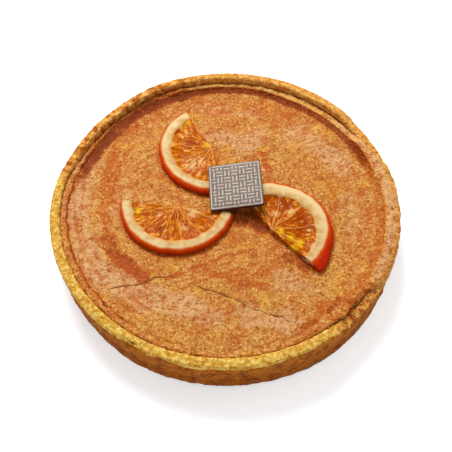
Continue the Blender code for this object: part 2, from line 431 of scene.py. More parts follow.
class Value:
    """What a node gives out. A sum or a product of values is a Math node."""

    def __init__(self, tree, socket):
        self.tree, self.socket = tree, socket

    def maths(self, operation, other=0.0):
        return add_node(self.tree, "Math", {0: self, 1: other}, operation=operation)

    def __add__(self, other):
        return self.maths("ADD", other)

    def __sub__(self, other):
        return self.maths("SUBTRACT", other)

    def __mul__(self, other):
        return self.maths("MULTIPLY", other)

    def fade(self, low, high):
        """0 where the value is at low, 1 where it is at high, with a smooth step between."""
        inputs = {"Value": self, "From Min": low, "From Max": high}
        return add_node(self.tree, "MapRange", inputs, interpolation_type="SMOOTHSTEP")


class Finish:
    """A material and words that add nodes to it. Sizes and depths are in millimetres."""

    def __init__(self, name):
        self.material = bpy.data.materials.new(name)
        self.material.use_nodes = True
        self.tree = self.material.node_tree
        self.place = add_node(self.tree, "TexCoord", {}, "Object")

    def attribute(self, title):
        return add_node(self.tree, "Attribute", {}, "Fac", attribute_name=title)

    def grains(self, size, detail=2.0):
        """Soft noise around 0.5, with grains about as large as the size."""
        inputs = {"Vector": self.place, "Scale": 1.0 / (size * MM), "Detail": detail}
        return add_node(self.tree, "TexNoise", {**inputs, "Roughness": GRAIN_ROUGHNESS})

    def pebbles(self, size):
        """Distance to the nearest of scattered seeds: 0 on a pebble's middle, more between."""
        inputs = {"Vector": self.place, "Scale": 1.0 / (size * MM)}
        return add_node(self.tree, "TexVoronoi", inputs, "Distance")

    def mix(self, share, first, second):
        """The first colour, turning into the second as the share grows from 0 to 1."""
        return add_node(self.tree, "Mix", {0: share, 6: first, 7: second}, 2, data_type="RGBA")

    def cover(self, colour, *coats):
        """Lays coats on a colour, from the bottom up. Each is a share and a colour."""
        for share, coat in coats:
            colour = self.mix(share, colour, coat)
        return colour

    def relief(self, height, depth):
        """Bump: tilts the shading as if the surface rose by the depth."""
        return add_node(self.tree, "Bump", {"Height": height, "Distance": depth * MM})

    def done(self, **values):
        """Fills the shader's sockets, named in small letters with _ for a space, and gives
        out the material."""
        shader = self.tree.nodes["Principled BSDF"]
        for title, value in values.items():
            title = title.replace("_", " ").title().replace("Ior", "IOR")
            plug(self.tree, value, shader.inputs[title])
        return self.material


print("golden pastry as linear light:", [round(v, 3) for v in paint(228, 180, 85)])

# %% [markdown]
# ## The shape of the case
# The case is a deep dish of shortcrust, pressed into a ring by hand and cut level at the
# top. Its rim is about six millimetres thick, its side leans out a little towards the
# foot in front, a stretch at the back left is flatter, and on the right the rim was pushed
# down where the lid runs over it. These sizes are those of the solid model.

# %% Sizes of the case
GAP = 0.3
CAKE_RADIUS = 110.2
BASE_RADIUS = 109.4
RIM_HEIGHT = 29.4
RIM_WIDTH = 6.2
RIM_SHOULDER = 1.6
RIM_UNEVENNESS = 0.35
RIDGE_DROP = 0.9
RIDGE_DROP_BEHIND = 3.5
SIDE_UNEVENNESS = 0.45
FOOT_ROUNDING = 1.4
FOOT_SPREAD = 1.3
FLAT_DEPTH = 2.0
NOTCH_DEPTH = 1.3
LAP_MIDDLE = -8.0
LAP_EDGE_THICKNESS = 2.2
LAP_TOP_DROP = 0.5
LID_MIDDLE_HEIGHT = 25.3
LID_SLOPE = math.radians(1.75)
LID_THICKNESS = 4.0
# Stretches of the edge, in degrees
FLAT_SIDE = (147.0, 8.0, 24.0)
SPREAD_FOOT = (-86.0, 30.0, 25.0)
NOTCH = (-119.0, 0.0, 4.5)
PRESSED_RIM = (LAP_MIDDLE, 42.0, 8.0)
LIFTED_RIDGE = (LAP_MIDDLE, 34.0, 8.0)
LOW_RIDGE = (85.0, 45.0, 75.0)
# Seeds of the solid model's uneven edges
WALL_SEED, TOP_SEED, RIDGE_SEED, SIDE_SEED, FOOT_SEED = 7, 3, 11, 6, 5


def lid_height(y):
    """Height of the lid's sloping top surface: it is lower at the back."""
    return LID_MIDDLE_HEIGHT - math.tan(LID_SLOPE) * y


def flat(angle):
    """How far the side is pushed in at the back left, where the cake isn't round."""
    return FLAT_DEPTH * hill(angle, *FLAT_SIDE)


def wall_radius(angle):
    """Radius of the rim's inner face."""
    return CAKE_RADIUS - RIM_WIDTH - flat(angle) + uneven(angle, 0.5 * RIM_UNEVENNESS, WALL_SEED)


def rim_top(angle):
    """Height of the rim's top, lower where the lid laps over it."""
    pressed = (LAP_EDGE_THICKNESS + LAP_TOP_DROP + GAP) * hill(angle, *PRESSED_RIM)
    return RIM_HEIGHT + uneven(angle, RIM_UNEVENNESS, TOP_SEED) - pressed


def ridge_height(angle):
    """Height of the lid's own edge: below the rim, lowest at the back, and over the rim on
    the right."""
    drop = RIDGE_DROP + RIDGE_DROP_BEHIND * hill(angle, *LOW_RIDGE)
    inside = RIM_HEIGHT - drop + uneven(angle, 0.6 * RIM_UNEVENNESS, RIDGE_SEED)
    over = rim_top(angle) + GAP + LAP_EDGE_THICKNESS
    return inside + (over - inside) * hill(angle, *LIFTED_RIDGE)


def case_outline(angle):
    """Radii and heights from the middle of the underside round the foot, the side and the
    rim to the middle of the seat under the lid."""
    outer = CAKE_RADIUS - flat(angle) + uneven(angle, 0.6 * SIDE_UNEVENNESS, SIDE_SEED)
    foot = BASE_RADIUS + FOOT_SPREAD * hill(angle, *SPREAD_FOOT) - flat(angle)
    foot += uneven(angle, SIDE_UNEVENNESS, FOOT_SEED)
    notch = NOTCH_DEPTH * hill(angle, *NOTCH)
    top = rim_top(angle)
    inner = wall_radius(angle)
    seat = lid_height(inner * np.sin(np.radians(angle))) - LID_THICKNESS - GAP
    seat_middle = LID_MIDDLE_HEIGHT - LID_THICKNESS - GAP
    pairs = [
        (0.0, 0.0),
        (0.5 * BASE_RADIUS, 0.0),
        (foot - FOOT_ROUNDING, 0.0),
        (foot, FOOT_ROUNDING),
        (foot + 0.3 * (outer - foot), 0.4 * RIM_HEIGHT),
        (outer - 0.2 * notch, top - 2.0 * RIM_SHOULDER),
        (outer - 0.1 * RIM_SHOULDER - notch, top - 0.8 * RIM_SHOULDER),
        (outer - 0.6 * RIM_SHOULDER - notch, top - 0.15 * RIM_SHOULDER - notch),
        (outer - 0.4 * RIM_WIDTH, top - 0.3 * notch),
        (inner + 0.4 * RIM_SHOULDER, top - 0.05 * RIM_SHOULDER),
        (inner, top - 0.5 * RIM_SHOULDER),
        (inner, seat),
        (0.5 * inner, 0.5 * (seat + seat_middle)),
        (0.0, seat_middle),
    ]
    return stack_outline(pairs, len(angle))


print("rim height in front and on the right:", rim_top(np.array([-90.0, 0.0])).round(1))

# %% [markdown]
# ## Crumbs on the case
# Cut and baked shortcrust breaks into rounded crumbs about a millimetre and a half across.
# They stand highest on the rim, where the dough was cut, and lie flatter on the side,
# which baked against the ring. The foot is ragged. All of this is relief in the mesh, so it
# shows along the outline too, and not only in the shading.

# %% Make the case's skin
CASE_COLUMNS = 1040
CASE_STEPS = (2, 2, 4, 12, 16, 3, 4, 6, 7, 4, 9, 2, 2)
# Places along the case's outline: where something starts and how long it takes
RIM_STARTS, RIM_ENDS = (4.6, 1.2), (10.6, 0.4)
SIDE_STARTS, FOOT_STARTS = (2.2, 0.6), (1.9, 0.3)
RIM_TOP_PLACE = 8.0
HOLES_START = (7.3, 0.6)
WALL_PLACE = 9.5
# Heights in millimetres: above the ground, and above the lid's own edge
FOOT_FADES = (1.0, 3.0)
GAP_TOP = (-0.7, 0.8)
# Crumbs: size in millimetres and seed
RIM_CRUMBS, SIDE_CRUMBS = (1.7, 21), (2.3, 31)
CRUMB_HEIGHT = 0.3
RIM_CRUMB_MEAN, SIDE_CRUMB_MEAN = 0.45, 0.6
UPRIGHT_LUMPS = (1.0, 1.0, 0.3)
# Roughness: height and size in millimetres, layers and seed
RIM_ROUGH = (0.22, 3.4, 3, 41)
TEAR_ROUGH = (0.7, 2.8, 3, 47)
SIDE_ROUGH = (0.22, 6.0, 3, 51)
SIDE_DENTS = (1.0, 4.5, 2, 57)
FOOT_ROUGH = (0.4, 2.6, 3, 61)
BORDER_ROUGH = (0.9, 9.0, 3, 71)
DENT_DEPTH = 0.5
DENTS_START = (0.7, 0.4)
# The border between the side's brown and the rim's gold: how far it lies below the top
BORDER_DROP = 1.9
BORDER_WAVES = [(1.6, (-100.0, 2.0, 5.0)), (0.9, (-143.0, 6.0, 10.0)), (-0.9, (-55.0, 8.0, 14.0))]
GOLDEN_RIM = (-122.0, 62.0, 10.0)
TEAR = (-44.0, 6.0, 7.0)
RUST = 0.3
RUST_WAVES = [(0.7, (138.0, 26.0, 16.0)), (0.7, TEAR)]
GAP_SHADE = 0.45
GAP_WAVES = [(-0.32, (50.0, 40.0, 20.0)), (0.5, (-62.0, 7.0, 5.0)), (-0.4, (142.0, 22.0, 12.0))]
GAP_COVERED = (LAP_MIDDLE, 40.0, 8.0)
# The tear's holes are painted shade: their stretch of the edge, the size of the lumps that open
# them, and how they open
HOLE_STRETCH = (-38.0, 8.0, 6.0)
HOLE_SIZE = 3.0
HOLES_OPEN = (0.5, 0.25)


def gap_shade(angle):
    """How dark the gap beside the rim looks: darkest beside the tear, hardly dark at the
    back right and the upper left, and covered by the lid on the right."""
    shade = GAP_SHADE + hills(angle, GAP_WAVES)
    return shade * (1.0 - 0.9 * hill(angle, *GAP_COVERED))


def broken(angle):
    """1 at the lower right, where the lid tore as it was pressed over the rim."""
    return hill(angle, *TEAR)


def painted_hole_shade(points, angle, seed):
    """1 where the tear's holes are painted with shade: they open where soft lumps are highest."""
    return rise(lumps(points, HOLE_SIZE, seed), *HOLES_OPEN) * hill(angle, *HOLE_STRETCH)


def case_relief(points, angle, place):
    """How far each point moves out: waves, lumps and crumbs, each with its own share on
    the rim, on the side and at the foot, and none on the hidden underside and seat. The
    crumbs' mean is taken off, so that the case keeps its size."""
    outside = place < RIM_TOP_PLACE
    on_rim = rise(place, *RIM_STARTS) * fall(place, *RIM_ENDS)
    on_side = rise(place, *SIDE_STARTS) * (1.0 - on_rim) * outside
    at_foot = rise(place, *FOOT_STARTS) * fall(points[:, 2], *FOOT_FADES) * outside
    small, tall = crumbs(points, *RIM_CRUMBS)
    flat_crumb = crumbs(points, *SIDE_CRUMBS)[0]
    rim = CRUMB_HEIGHT * (small - RIM_CRUMB_MEAN) * (0.5 + tall) + rough(points, *RIM_ROUGH)
    rim += broken(angle) * rough(points, *TEAR_ROUGH)
    side = CRUMB_HEIGHT * (flat_crumb - SIDE_CRUMB_MEAN) + rough(points, *SIDE_ROUGH)
    side -= DENT_DEPTH * rise(rough(points, *SIDE_DENTS), *DENTS_START)
    ragged = rough(points * UPRIGHT_LUMPS, *FOOT_ROUGH)
    return on_rim * rim + on_side * side + at_foot * ragged


def make_case_skin():
    """The case's points, faces and the numbers that steer its colours."""
    rows = len(rows_between(CASE_STEPS))
    around = np.arange(CASE_COLUMNS) * 360.0 / CASE_COLUMNS
    place, angle = every_pair(rows_between(CASE_STEPS), around)
    profile = along(case_outline(angle), place)
    points = turned(profile[:, 0], angle, profile[:, 1])
    normal = -slopes(points, rows, CASE_COLUMNS, True)
    points = points + normal * case_relief(points, angle, place)[:, None]
    points[:, 2] = np.maximum(points[:, 2], 0.0)
    turn = np.degrees(np.arctan2(points[:, 1], points[:, 0]))
    border = BORDER_DROP + rough(points, *BORDER_ROUGH) + hills(turn, BORDER_WAVES)
    above = points[:, 2] - (rim_top(turn) - border)
    in_gap = fall(points[:, 2] - ridge_height(turn), *GAP_TOP) * (place > WALL_PLACE)
    numbers = {
        "above_border": np.where(place > RIM_TOP_PLACE, np.abs(above) + 1.0, above),
        "gold": hill(turn, *GOLDEN_RIM),
        "rust": RUST + hills(turn, RUST_WAVES),
        # depth is painted shade: in the gap beside the lid and in the tear's holes
        "depth": np.maximum(
            in_gap * gap_shade(turn), 0.7 * painted_hole_shade(points, turn, 81) * rise(place, *HOLES_START)
        ),
    }
    return points, grid_faces(rows, CASE_COLUMNS, True), numbers


print("the case has", len(rows_between(CASE_STEPS)), "rows of", CASE_COLUMNS, "points")

# %% [markdown]
# ## Baked shortcrust
# One dough, three looks. The rim's cut top is pale gold and sandy in front and on the left,
# and tan at the back. Below a ragged border the side, which touched the hot ring, is
# brown and blotched, and darkest at the foot. Painting by the crumb noise alone would put
# the brown anywhere, so the mesh says how far each point is above the border, and grains
# only make that border uneven. Painted shade darkens the gap beside the lid, the holes of
# the tear and the lowest places of the bump.

# %% The shortcrust finish
RIM_GOLD = paint(216, 156, 54)
RIM_GOLD_PALE = paint(254, 216, 116)
RIM_TAN = paint(254, 200, 110)
RIM_TAN_DARK = paint(222, 148, 60)
# Rust-brown mottle, also used as painted shade in the lowest places of the bump
RIM_RUST_AND_SHADE = paint(172, 80, 14)
SIDE_BROWN = paint(176, 94, 14)
SIDE_DARK = paint(128, 56, 2)
SIDE_LIGHT = paint(222, 152, 52)
FOOT_DARK = paint(78, 32, 2)
# Painted shade in the gap beside the lid, in the tear's holes and in the lid's pits
PAINTED_SHADE_BROWN = paint(112, 52, 8)


def shortcrust():
    """Grain sizes and details first, then each colour with the coats that lie on it. The
    fades along the height are in metres, as the nodes give them."""
    finish = Finish("baked_shortcrust")
    lift = finish.grains(3.0, 4.0) * 1.6 - finish.pebbles(1.5) * 0.5
    sand = lift.fade(0.4, 0.85)
    spots = finish.grains(4.0, 3.0).fade(0.42, 0.66)
    blotch = finish.grains(8.0, 4.0).fade(0.38, 0.66)
    gold = finish.mix(sand, RIM_GOLD, RIM_GOLD_PALE)
    tan = finish.mix(sand, RIM_TAN_DARK, RIM_TAN)
    tan = finish.mix(spots * finish.attribute("rust"), tan, RIM_RUST_AND_SHADE)
    is_gold = (finish.grains(5.0) + finish.attribute("gold")).fade(0.8, 1.1)
    # Darkest where the bump is lowest: brown specks, and painted shade in the hollows
    rim = finish.cover(tan, (is_gold, gold), (lift.fade(0.36, 0.2) * 0.6, RIM_RUST_AND_SHADE))
    up = add_node(finish.tree, "SeparateXYZ", {0: finish.place}, "Z")
    side = finish.cover(
        SIDE_BROWN,
        (blotch, SIDE_DARK),
        (sand * 0.4, SIDE_LIGHT),
        (up.fade(0.028, 0.006) * 0.4, SIDE_DARK),
        ((spots * -0.003 + up).fade(0.004, -0.001), FOOT_DARK),
    )
    wobble = finish.grains(1.8) * 2.6 - 1.3
    above = (wobble + finish.attribute("above_border")).fade(-0.3, 0.4)
    # The depth number lays painted shade over the crust
    crust = finish.cover(side, (above, rim), (finish.attribute("depth"), PAINTED_SHADE_BROWN))
    return finish.done(
        base_color=crust, roughness=0.82, specular_ior_level=0.06, normal=finish.relief(lift, 0.5)
    )


case = make_piece("pastry_case_skin", shortcrust(), *make_case_skin())

# %% [markdown]
# ## The shape of the lid
# A disc of the same dough lies in the case, brushed with egg. Its edge stands up against
# the rim: at the back as a ridge with a slope that caramelised and carries painted shade,
# broadest at the back right, at the left as a narrow band between two dark lines of partly
# painted shade, in front nearly level, and on the right it climbs over the rim and hangs
# there. The outline below runs from the middle of the lid's top over that edge and back
# under it.

# %% Sizes of the lid
RIDGE_WIDTH = 3.2
RIDGE_BROADER = 1.4
RIDGE_SLOPE_WIDTH = 4.0
RIDGE_ROUNDING = 1.1
RIDGE_SHARPER = 0.6
LAP_REACH = 5.4
LID_STEPS = (38, 38, 38, 6, 6, 8, 4, 3, 3, 4, 2, 1)
LID_TOP_END = 6.0
BROAD_RIDGE = (40.0, 22.0, 16.0)
SHARP_RIDGE = (-120.0, 60.0, 25.0)
LAPPING = (LAP_MIDDLE, 20.0, 14.0)


def ridge_width(angle):
    """Width of the lid's raised edge."""
    return RIDGE_WIDTH + RIDGE_BROADER * hill(angle, *BROAD_RIDGE)


def lid_outline(angle):
    """Radii and heights from the middle of the lid's top over its edge and back below."""
    inside = wall_radius(angle) - GAP
    reach = (LAP_REACH + GAP) * hill(angle, *LAPPING)
    towards_back = np.sin(np.radians(angle))
    seat = lid_height(inside * towards_back) - LID_THICKNESS
    seat_middle = LID_MIDDLE_HEIGHT - LID_THICKNESS
    top = ridge_height(angle)
    lap_under = np.minimum(rim_top(angle) + GAP, top - 0.5 * LAP_EDGE_THICKNESS)
    ridge_inner = inside - ridge_width(angle)
    foot = ridge_inner - RIDGE_SLOPE_WIDTH
    foot_height = lid_height(foot * towards_back)
    rounding = RIDGE_ROUNDING - RIDGE_SHARPER * hill(angle, *SHARP_RIDGE)
    pairs = [
        (0.0, LID_MIDDLE_HEIGHT),
        (0.33 * foot, lid_height(0.33 * foot * towards_back)),
        (0.66 * foot, lid_height(0.66 * foot * towards_back)),
        (foot, foot_height),
        (0.5 * (ridge_inner + foot), 0.4 * top + 0.6 * foot_height),
        (ridge_inner, top - 0.15),
        (inside - rounding + 0.9 * reach, top),
        (inside - 0.36 * rounding + reach, top - 0.4 * rounding),
        (inside - 0.2 + reach, lap_under),
        (inside, lap_under - 0.15),
        (inside, seat),
        (0.5 * inside, 0.5 * (seat + seat_middle)),
        (0.0, seat_middle),
    ]
    return stack_outline(pairs, len(angle))


print("lid edge at the back and in front:", ridge_height(np.array([90.0, -90.0])).round(1))

# %% [markdown]
# ## The candied orange slices
# Three half slices of orange, cooked in syrup and dried. Each is a flat half disc four
# millimetres thick: a glossy red-orange rind, a band of cream-coloured pith, and pulp that
# sank between its membranes. Every slice is a fan of rays from the orange's core, so one
# number says how far along the ray a point lies and the other the ray's direction.
# The sizes are those of the solid model. The peel of the right-hand slice slants widely,
# because it was cut near the orange's end.

# %% Sizes of the slices
SLICE_THICKNESS = 4.2
RIND_WIDTH = 2.0
PITH_WIDTH = 5.6
FLESH_SINK = 0.9
PEEL_UNEVENNESS = 0.25
TIP_FADE = 30.0
CURL_START = 12.0
CURL_LENGTH = 22.0
# The last three rows of each slice: spots at x and y in millimetres, with their widths. The pale
# spots are partly painted highlight.
SLICES = {
    "orange_slice_back": {
        "middle": (-6.3, 43.8), "radius": 38.4, "core": (-9.2, 42.4),
        "starts": 120.2, "sweep": 168.0, "peel_slant": 0.9, "tip_slant": 0.0, "curl": 0.0,
        "seed": 384, "segments": 5, "ripeness": 0.25,
        "yellow": [(-26.5, 65.5, 3.4), (-12.2, 45.0, 4.2)],
        "pale_and_highlight": [(-21.0, 28.0, 9.0), (-16.0, 31.0, 6.0)],
        "deep": [(-24.0, 46.0, 10.0), (-14.0, 42.0, 6.0)],
    },
    "orange_slice_left": {
        "middle": (-30.3, -2.6), "radius": 36.3, "core": (-30.7, -5.6),
        "starts": 172.0, "sweep": 180.0, "peel_slant": 0.4, "tip_slant": 0.0, "curl": 0.0,
        "seed": 363, "segments": 6, "ripeness": 0.3,
        "yellow": [(-55.0, -8.5, 3.6), (-51.0, -12.0, 2.4)],
        "pale_and_highlight": [(-20.0, -8.5, 8.0), (-42.0, -11.0, 4.0), (-25.0, -20.0, 5.0)],
        "deep": [(-31.0, -12.0, 5.0), (-40.0, -22.0, 7.0)],
    },
    "orange_slice_right": {
        "middle": (29.2, -22.6), "radius": 36.8, "core": (27.9, -22.6),
        "starts": -45.5, "sweep": 168.1, "peel_slant": 3.4, "tip_slant": 2.4, "curl": 2.5,
        "seed": 368, "segments": 5, "ripeness": 0.6,
        "yellow": [(33.5, -23.5, 4.0), (44.5, -32.5, 4.5), (40.5, -35.5, 4.5), (39.0, -28.0, 4.0)],
        "pale_and_highlight": [(40.0, -9.0, 5.0), (31.0, -11.0, 4.0)],
        "deep": [(47.0, -15.0, 7.0), (49.0, -22.0, 6.0), (35.0, -3.0, 7.0)],
    },
}


def ray_reach(sizes, angle):
    """Length of the ray from the core to the round peel: the positive root of the square
    equation that puts its end on a circle, plus the peel's unevenness and drawn-out tip."""
    turn = np.radians(angle + sizes["starts"])
    away_x = sizes["core"][0] - sizes["middle"][0]
    away_y = sizes["core"][1] - sizes["middle"][1]
    along_ray = away_x * np.cos(turn) + away_y * np.sin(turn)
    off = away_x**2 + away_y**2
    reach = np.sqrt(along_ray**2 - off + sizes["radius"] ** 2) - along_ray
    tip = sizes["tip_slant"] * fall(angle, 0.0, TIP_FADE)
    return reach + uneven(angle, PEEL_UNEVENNESS, sizes["seed"]) + tip, sizes["peel_slant"] + tip


print("slice radii:", [sizes["radius"] for sizes in SLICES.values()])

# %% [markdown]
# ## Brush strokes, cracks and pits
# Some marks have a place of their own: a long arc of darker egg wash on the left, strokes
# in front, two hair cracks, red-brown spots, milky patches of painted sheen and small pits.
# Painting them needs no picture. Each mark is a short path over the lid, in millimetres,
# and each point of the mesh knows how far it is from the path. A distance changes evenly
# between points, so the shader can cut a line from it that is finer than the mesh.


# %% Distances to paths
FAR_AWAY = 1e3
STROKE_EDGE = (0.5, 0.75)


def near_path(x, y, path):
    """Distance to a path of straight runs. The nearest place on a run is its start plus a
    share of its length, clipped to lie from 0 to 1."""
    nearest = np.full(x.shape, FAR_AWAY)
    for (x0, y0), (x1, y1) in zip(path, path[1:]):
        run_x, run_y = x1 - x0, y1 - y0
        share = ((x - x0) * run_x + (y - y0) * run_y) / (run_x**2 + run_y**2)
        share = np.clip(share, 0.0, 1.0)
        nearest = np.minimum(nearest, np.hypot(x - x0 - share * run_x, y - y0 - share * run_y))
    return nearest


# Each mark: its path and half width in millimetres, and its strength
BROWN_STROKES = [
    ([(0, -12), (14, -12), (24, -17)], 8.0, 1.1),
    ([(-6, -22), (16, -26), (30, -37)], 10.0, 0.35),
    ([(38, -40), (47, -47)], 5.0, 1.0),
    ([(-74, 46), (-76, 30), (-78, 14), (-78, -6)], 4.0, 0.65),
    ([(-71, 34), (-73, 12), (-72, 2)], 2.6, 0.72),
    ([(-85, 40), (-88, 22)], 2.2, 0.5),
    ([(-78, -2), (-73, -22), (-66, -36)], 4.2, 0.65),
    ([(-73, -26), (-64, -40), (-48, -54)], 5.0, 0.92),
    ([(-68, -37), (-60, -45), (-48, -54)], 3.4, 1.02),
    ([(20, -47), (34, -40), (42, -37)], 1.3, 0.6),
    ([(-4, -40), (10, -37), (24, -40)], 1.5, 0.5),
    ([(-52, 76), (-20, 84), (20, 84), (46, 74)], 9.0, 0.45),
    ([(-84, 48), (-70, 64), (-52, 78)], 8.0, 0.65),
    ([(-30, -8), (-28, -36), (-8, -44)], 5.0, 0.25),
    ([(48, 8), (58, 22), (56, 34)], 5.0, 0.3),
    ([(40, -88), (52, -82)], 2.4, 0.9),
    ([(60, -76), (66, -68)], 2.4, 0.9),
    ([(14, -26), (40, -31), (52, -26)], 4.0, 0.4),
    ([(-74, 50), (-58, 66), (-40, 80)], 7.0, 0.42),
    ([(-43, 22), (-53, 28), (-60, 36)], 6.0, 0.25),
    ([(-12, -50), (8, -55), (29, -48), (45, -42)], 3.6, 0.55),
    ([(4, -57), (22, -60)], 3.2, 0.7),
    ([(-36, -55), (-18, -47), (-2, -40), (16, -35)], 1.5, 0.75),
    ([(-24, -60), (-4, -52), (14, -48)], 1.2, 0.6),
    ([(-62, 58), (-68, 44), (-70, 30)], 2.0, 0.45),
    ([(16, 20), (34, 24), (48, 20)], 6.0, 0.25),
    ([(42, -87), (52, -80), (57, -73)], 3.6, 0.65),
    ([(56, -72), (69, -70), (73, -64)], 4.6, 0.6),
    ([(68, -4), (70, 6), (66, 14)], 3.5, 0.45),
    ([(82, -34), (86, -20), (88, -6)], 4.5, 0.5),
    ([(46, 54), (56, 60)], 3.0, 0.4),
]
RED_SPOTS = [
    ([(23, 40), (26, 35)], 3.4, 1.0),
    ([(26, 32), (29, 26)], 3.0, 0.9),
    ([(69, -1), (70, -3)], 1.8, 0.6),
    ([(10, -58), (13, -59)], 2.4, 0.55),
    ([(-29, -53), (-27, -53)], 2.0, 0.5),
    ([(-9, 68), (-4, 66)], 2.8, 0.4),
    ([(-67, -40), (-58, -47), (-49, -53)], 3.8, 0.62),
    ([(-76, -12), (-72, -26)], 2.8, 0.5),
    ([(-73, 20), (-73, 4)], 2.4, 0.45),
    ([(-5, -52), (0, -53)], 2.6, 0.55),
    ([(-22, -49), (-19, -49)], 2.2, 0.5),
]
# Painted sheen: milky pink patches where the studio light is reflected
SHEEN_PATCHES = [
    ([(-92, 34), (-93, 0), (-88, -24), (-80, -40)], 9.0, 0.8),
    ([(-66, 6), (-62, -20)], 7.0, 0.45),
    ([(44, -24), (56, -34)], 8.0, 0.6),
    ([(34, -54), (44, -62)], 8.0, 0.6),
    ([(14, -78), (30, -80), (40, -84)], 7.0, 0.7),
    ([(-44, -66), (-24, -72), (-6, -80)], 8.0, 0.8),
    ([(50, 58), (64, 46), (78, 30)], 9.0, 0.85),
    ([(-80, -44), (-66, -56), (-52, -62)], 8.0, 0.8),
    ([(-62, -58), (-44, -72)], 7.0, 0.5),
    ([(-8, 58), (12, 46), (24, 56)], 8.0, 0.7),
    ([(80, 2), (82, -24)], 7.0, 0.4),
    ([(20, 76), (-20, 84)], 6.0, 0.5),
]
CRACKS = [
    [(-69, -61), (-59, -59.5), (-48.5, -57.5), (-42, -53.5), (-32, -52.5)],
    [(-17, -60), (-6, -64), (6, -68.5), (17, -75), (28, -78), (37, -82.5)],
]
# Pits are cut into the relief and also darkened with painted shade
# Each pit: its place and width
PITS = [(53, 58, 0.9), (80, 25, 1.15), (-31, 12.7, 1.4), (-52, 43, 0.9), (-42, 3, 1.15)]
PITS += [(44, 72, 1.4), (60, 20, 0.9), (-20, 70, 1.15)]


def syrup_and_shadow(x, y, width):
    """1 beside the slices, 0 farther off than the width: a ring of syrup and painted contact
    shadow. Round a slice, how far a point is beyond the peel on its ray, or beyond the straight cut."""
    share = np.zeros(x.shape)
    for sizes in SLICES.values():
        core_x, core_y = sizes["core"]
        away = np.hypot(x - core_x, y - core_y)
        angle = (np.degrees(np.arctan2(y - core_y, x - core_x)) - sizes["starts"]) % 360.0
        reach = ray_reach(sizes, np.clip(angle, 0.0, sizes["sweep"]))[0]
        past_cut = np.minimum(angle - sizes["sweep"], 360.0 - angle)
        aside = away * np.sin(np.radians(np.clip(past_cut, 0.0, 90.0)))
        beyond = np.hypot(np.maximum(away - reach, 0.0), np.where(past_cut > 0.0, aside, 0.0))
        share = np.maximum(share, fall(beyond, 0.0, width))
    return share


def strokes(x, y, marks):
    """The strongest of several strokes at each point, soft at their edges."""
    found = np.zeros(x.shape)
    for path, half_width, strength in marks:
        share = fall(near_path(x, y, path) / half_width, *STROKE_EDGE)
        found = np.maximum(found, strength * share)
    return found


def spot_share(x, y, spots):
    """1 in the middle of the nearest round spot, 0 outside it."""
    share = np.zeros(x.shape)
    for middle_x, middle_y, width in spots:
        share = np.maximum(share, fall(np.hypot(x - middle_x, y - middle_y), 0.0, width))
    return share


print(len(BROWN_STROKES), "brown strokes,", len(CRACKS), "cracks,", len(PITS), "pits")

# %% [markdown]
# ## The lid's skin
# The rings of a square grid are pressed round and laid along the outline. Then the dough
# gets its relief, from broad waves down to small pimples, with the cracks and pits cut in.
# The wash pools and browns where the strokes run, at the foot of the edge and in the crease
# beside it. Painted shade lies on the slopes at the back, in the crease, round the slices,
# in the gap, in the tear's holes and in the pits. So the same distances also give the
# numbers for the finish.

# %% Make the lid's skin
# Roughness: height and size in millimetres, layers and seed
LONG_WAVES = (0.35, 34.0, 1, 101)
SHORT_WAVES = (0.22, 13.0, 1, 103)
TOP_ROUGH = (0.2, 3.4, 2, 105)
RIDGE_ROUGH = (0.4, 3.6, 3, 111)
TORN_RIDGE = (0.8, 2.8, 3, 113)
BORDER_WAVER = (0.8, 6.5, 1, 136)
FINE_WAVER = (0.5, 2.4, 1, 138)
GROOVE_WAVER = (0.6, 6.5, 1, 136)
BAND_WAVER = (1.2, 5.0, 1, 155)
STROKE_WAVERS = [(2.2, 6.0, 1, 131), (1.5, 5.0, 1, 133)]
STROKE_MOTTLE = (0.2, 2.5, 1, 135)
PATCH_WAVER = (4.0, 9.0, 1, 148)
FRONT_MOTTLE = (0.12, 7.0, 1, 137)
GAP_WAVER = (0.35, 2.6, 1, 145)
CRACK_WAVERS = [[(0.9, 4.0, 1, 141), (0.25, 1.6, 1, 142)], [(0.9, 4.0, 1, 143), (0.25, 1.6, 1, 144)]]
LID_CRUMBS = (1.5, 121)
LID_CRUMB_HEIGHT, RIDGE_CRUMB_HEIGHT = 0.16, 0.3
# Places along the lid's outline: where something starts and how long it takes
TOP_ENDS, EDGE_STARTS = (8.0, 0.8), (3.6, 1.0)
RIDGE_STARTS, SLOPE_ENDS = (4.7, 0.5), (4.7, 0.4)
CRACK_DEPTH, CRACK_WIDTH = 0.4, 0.6
PIT_DEPTH = 0.8
GROOVE_DEPTH = 0.45
GROOVE = (1.0, 0.8)
BRUSH_SLANT = math.radians(22.0)
BRUSH_LENGTHS, BRUSH_WIDTH = (14.0, 12.0), 1.8
BRUSH_RADIUS = 80.0
ROUND_STROKES = (62.0, 16.0)
# Stretches of the edge, in degrees
GROOVED = (-170.0, 36.0, 20.0)
BRUSHED_ROUND = (180.0, 60.0, 30.0)
BACK_CREST = (72.0, 40.0, 12.0)
FRONT = (-100.0, 50.0, 30.0)
LAPPED = (LAP_MIDDLE, 30.0, 10.0)
SHINING = (4.0, 28.0, 14.0)
TAN_RIDGE = (50.0, 56.0, 12.0)
# Distances inwards from the ridge's foot, in millimetres: starts and lengths of the slope's
# browning and painted shade and of the dark band, middles and widths of the lines along the
# crest and edge
BACK_SLOPE, RIGHT_SLOPE = (3.8, 1.6), (4.3, 2.4)
BAND_STARTS, BAND_ENDS = (-1.6, 1.6), (5.2, 2.6)
LEFT_LINE, CREST_LINE, SHEEN_LINE = (1.0, 0.8), (0.5, 0.7), (-3.2, 2.0)
FRONT_ENDS, SANDY_STARTS = (-2.8, 1.4), (5.6, 1.2)
CREST_BROWN, FRONT_BROWN, SYRUP_AND_SHADOW_BROWN, SYRUP_AND_SHADOW_REACH = 0.25, 0.5, 0.75, 3.6
GAP_STARTS = (7.0, 0.8)
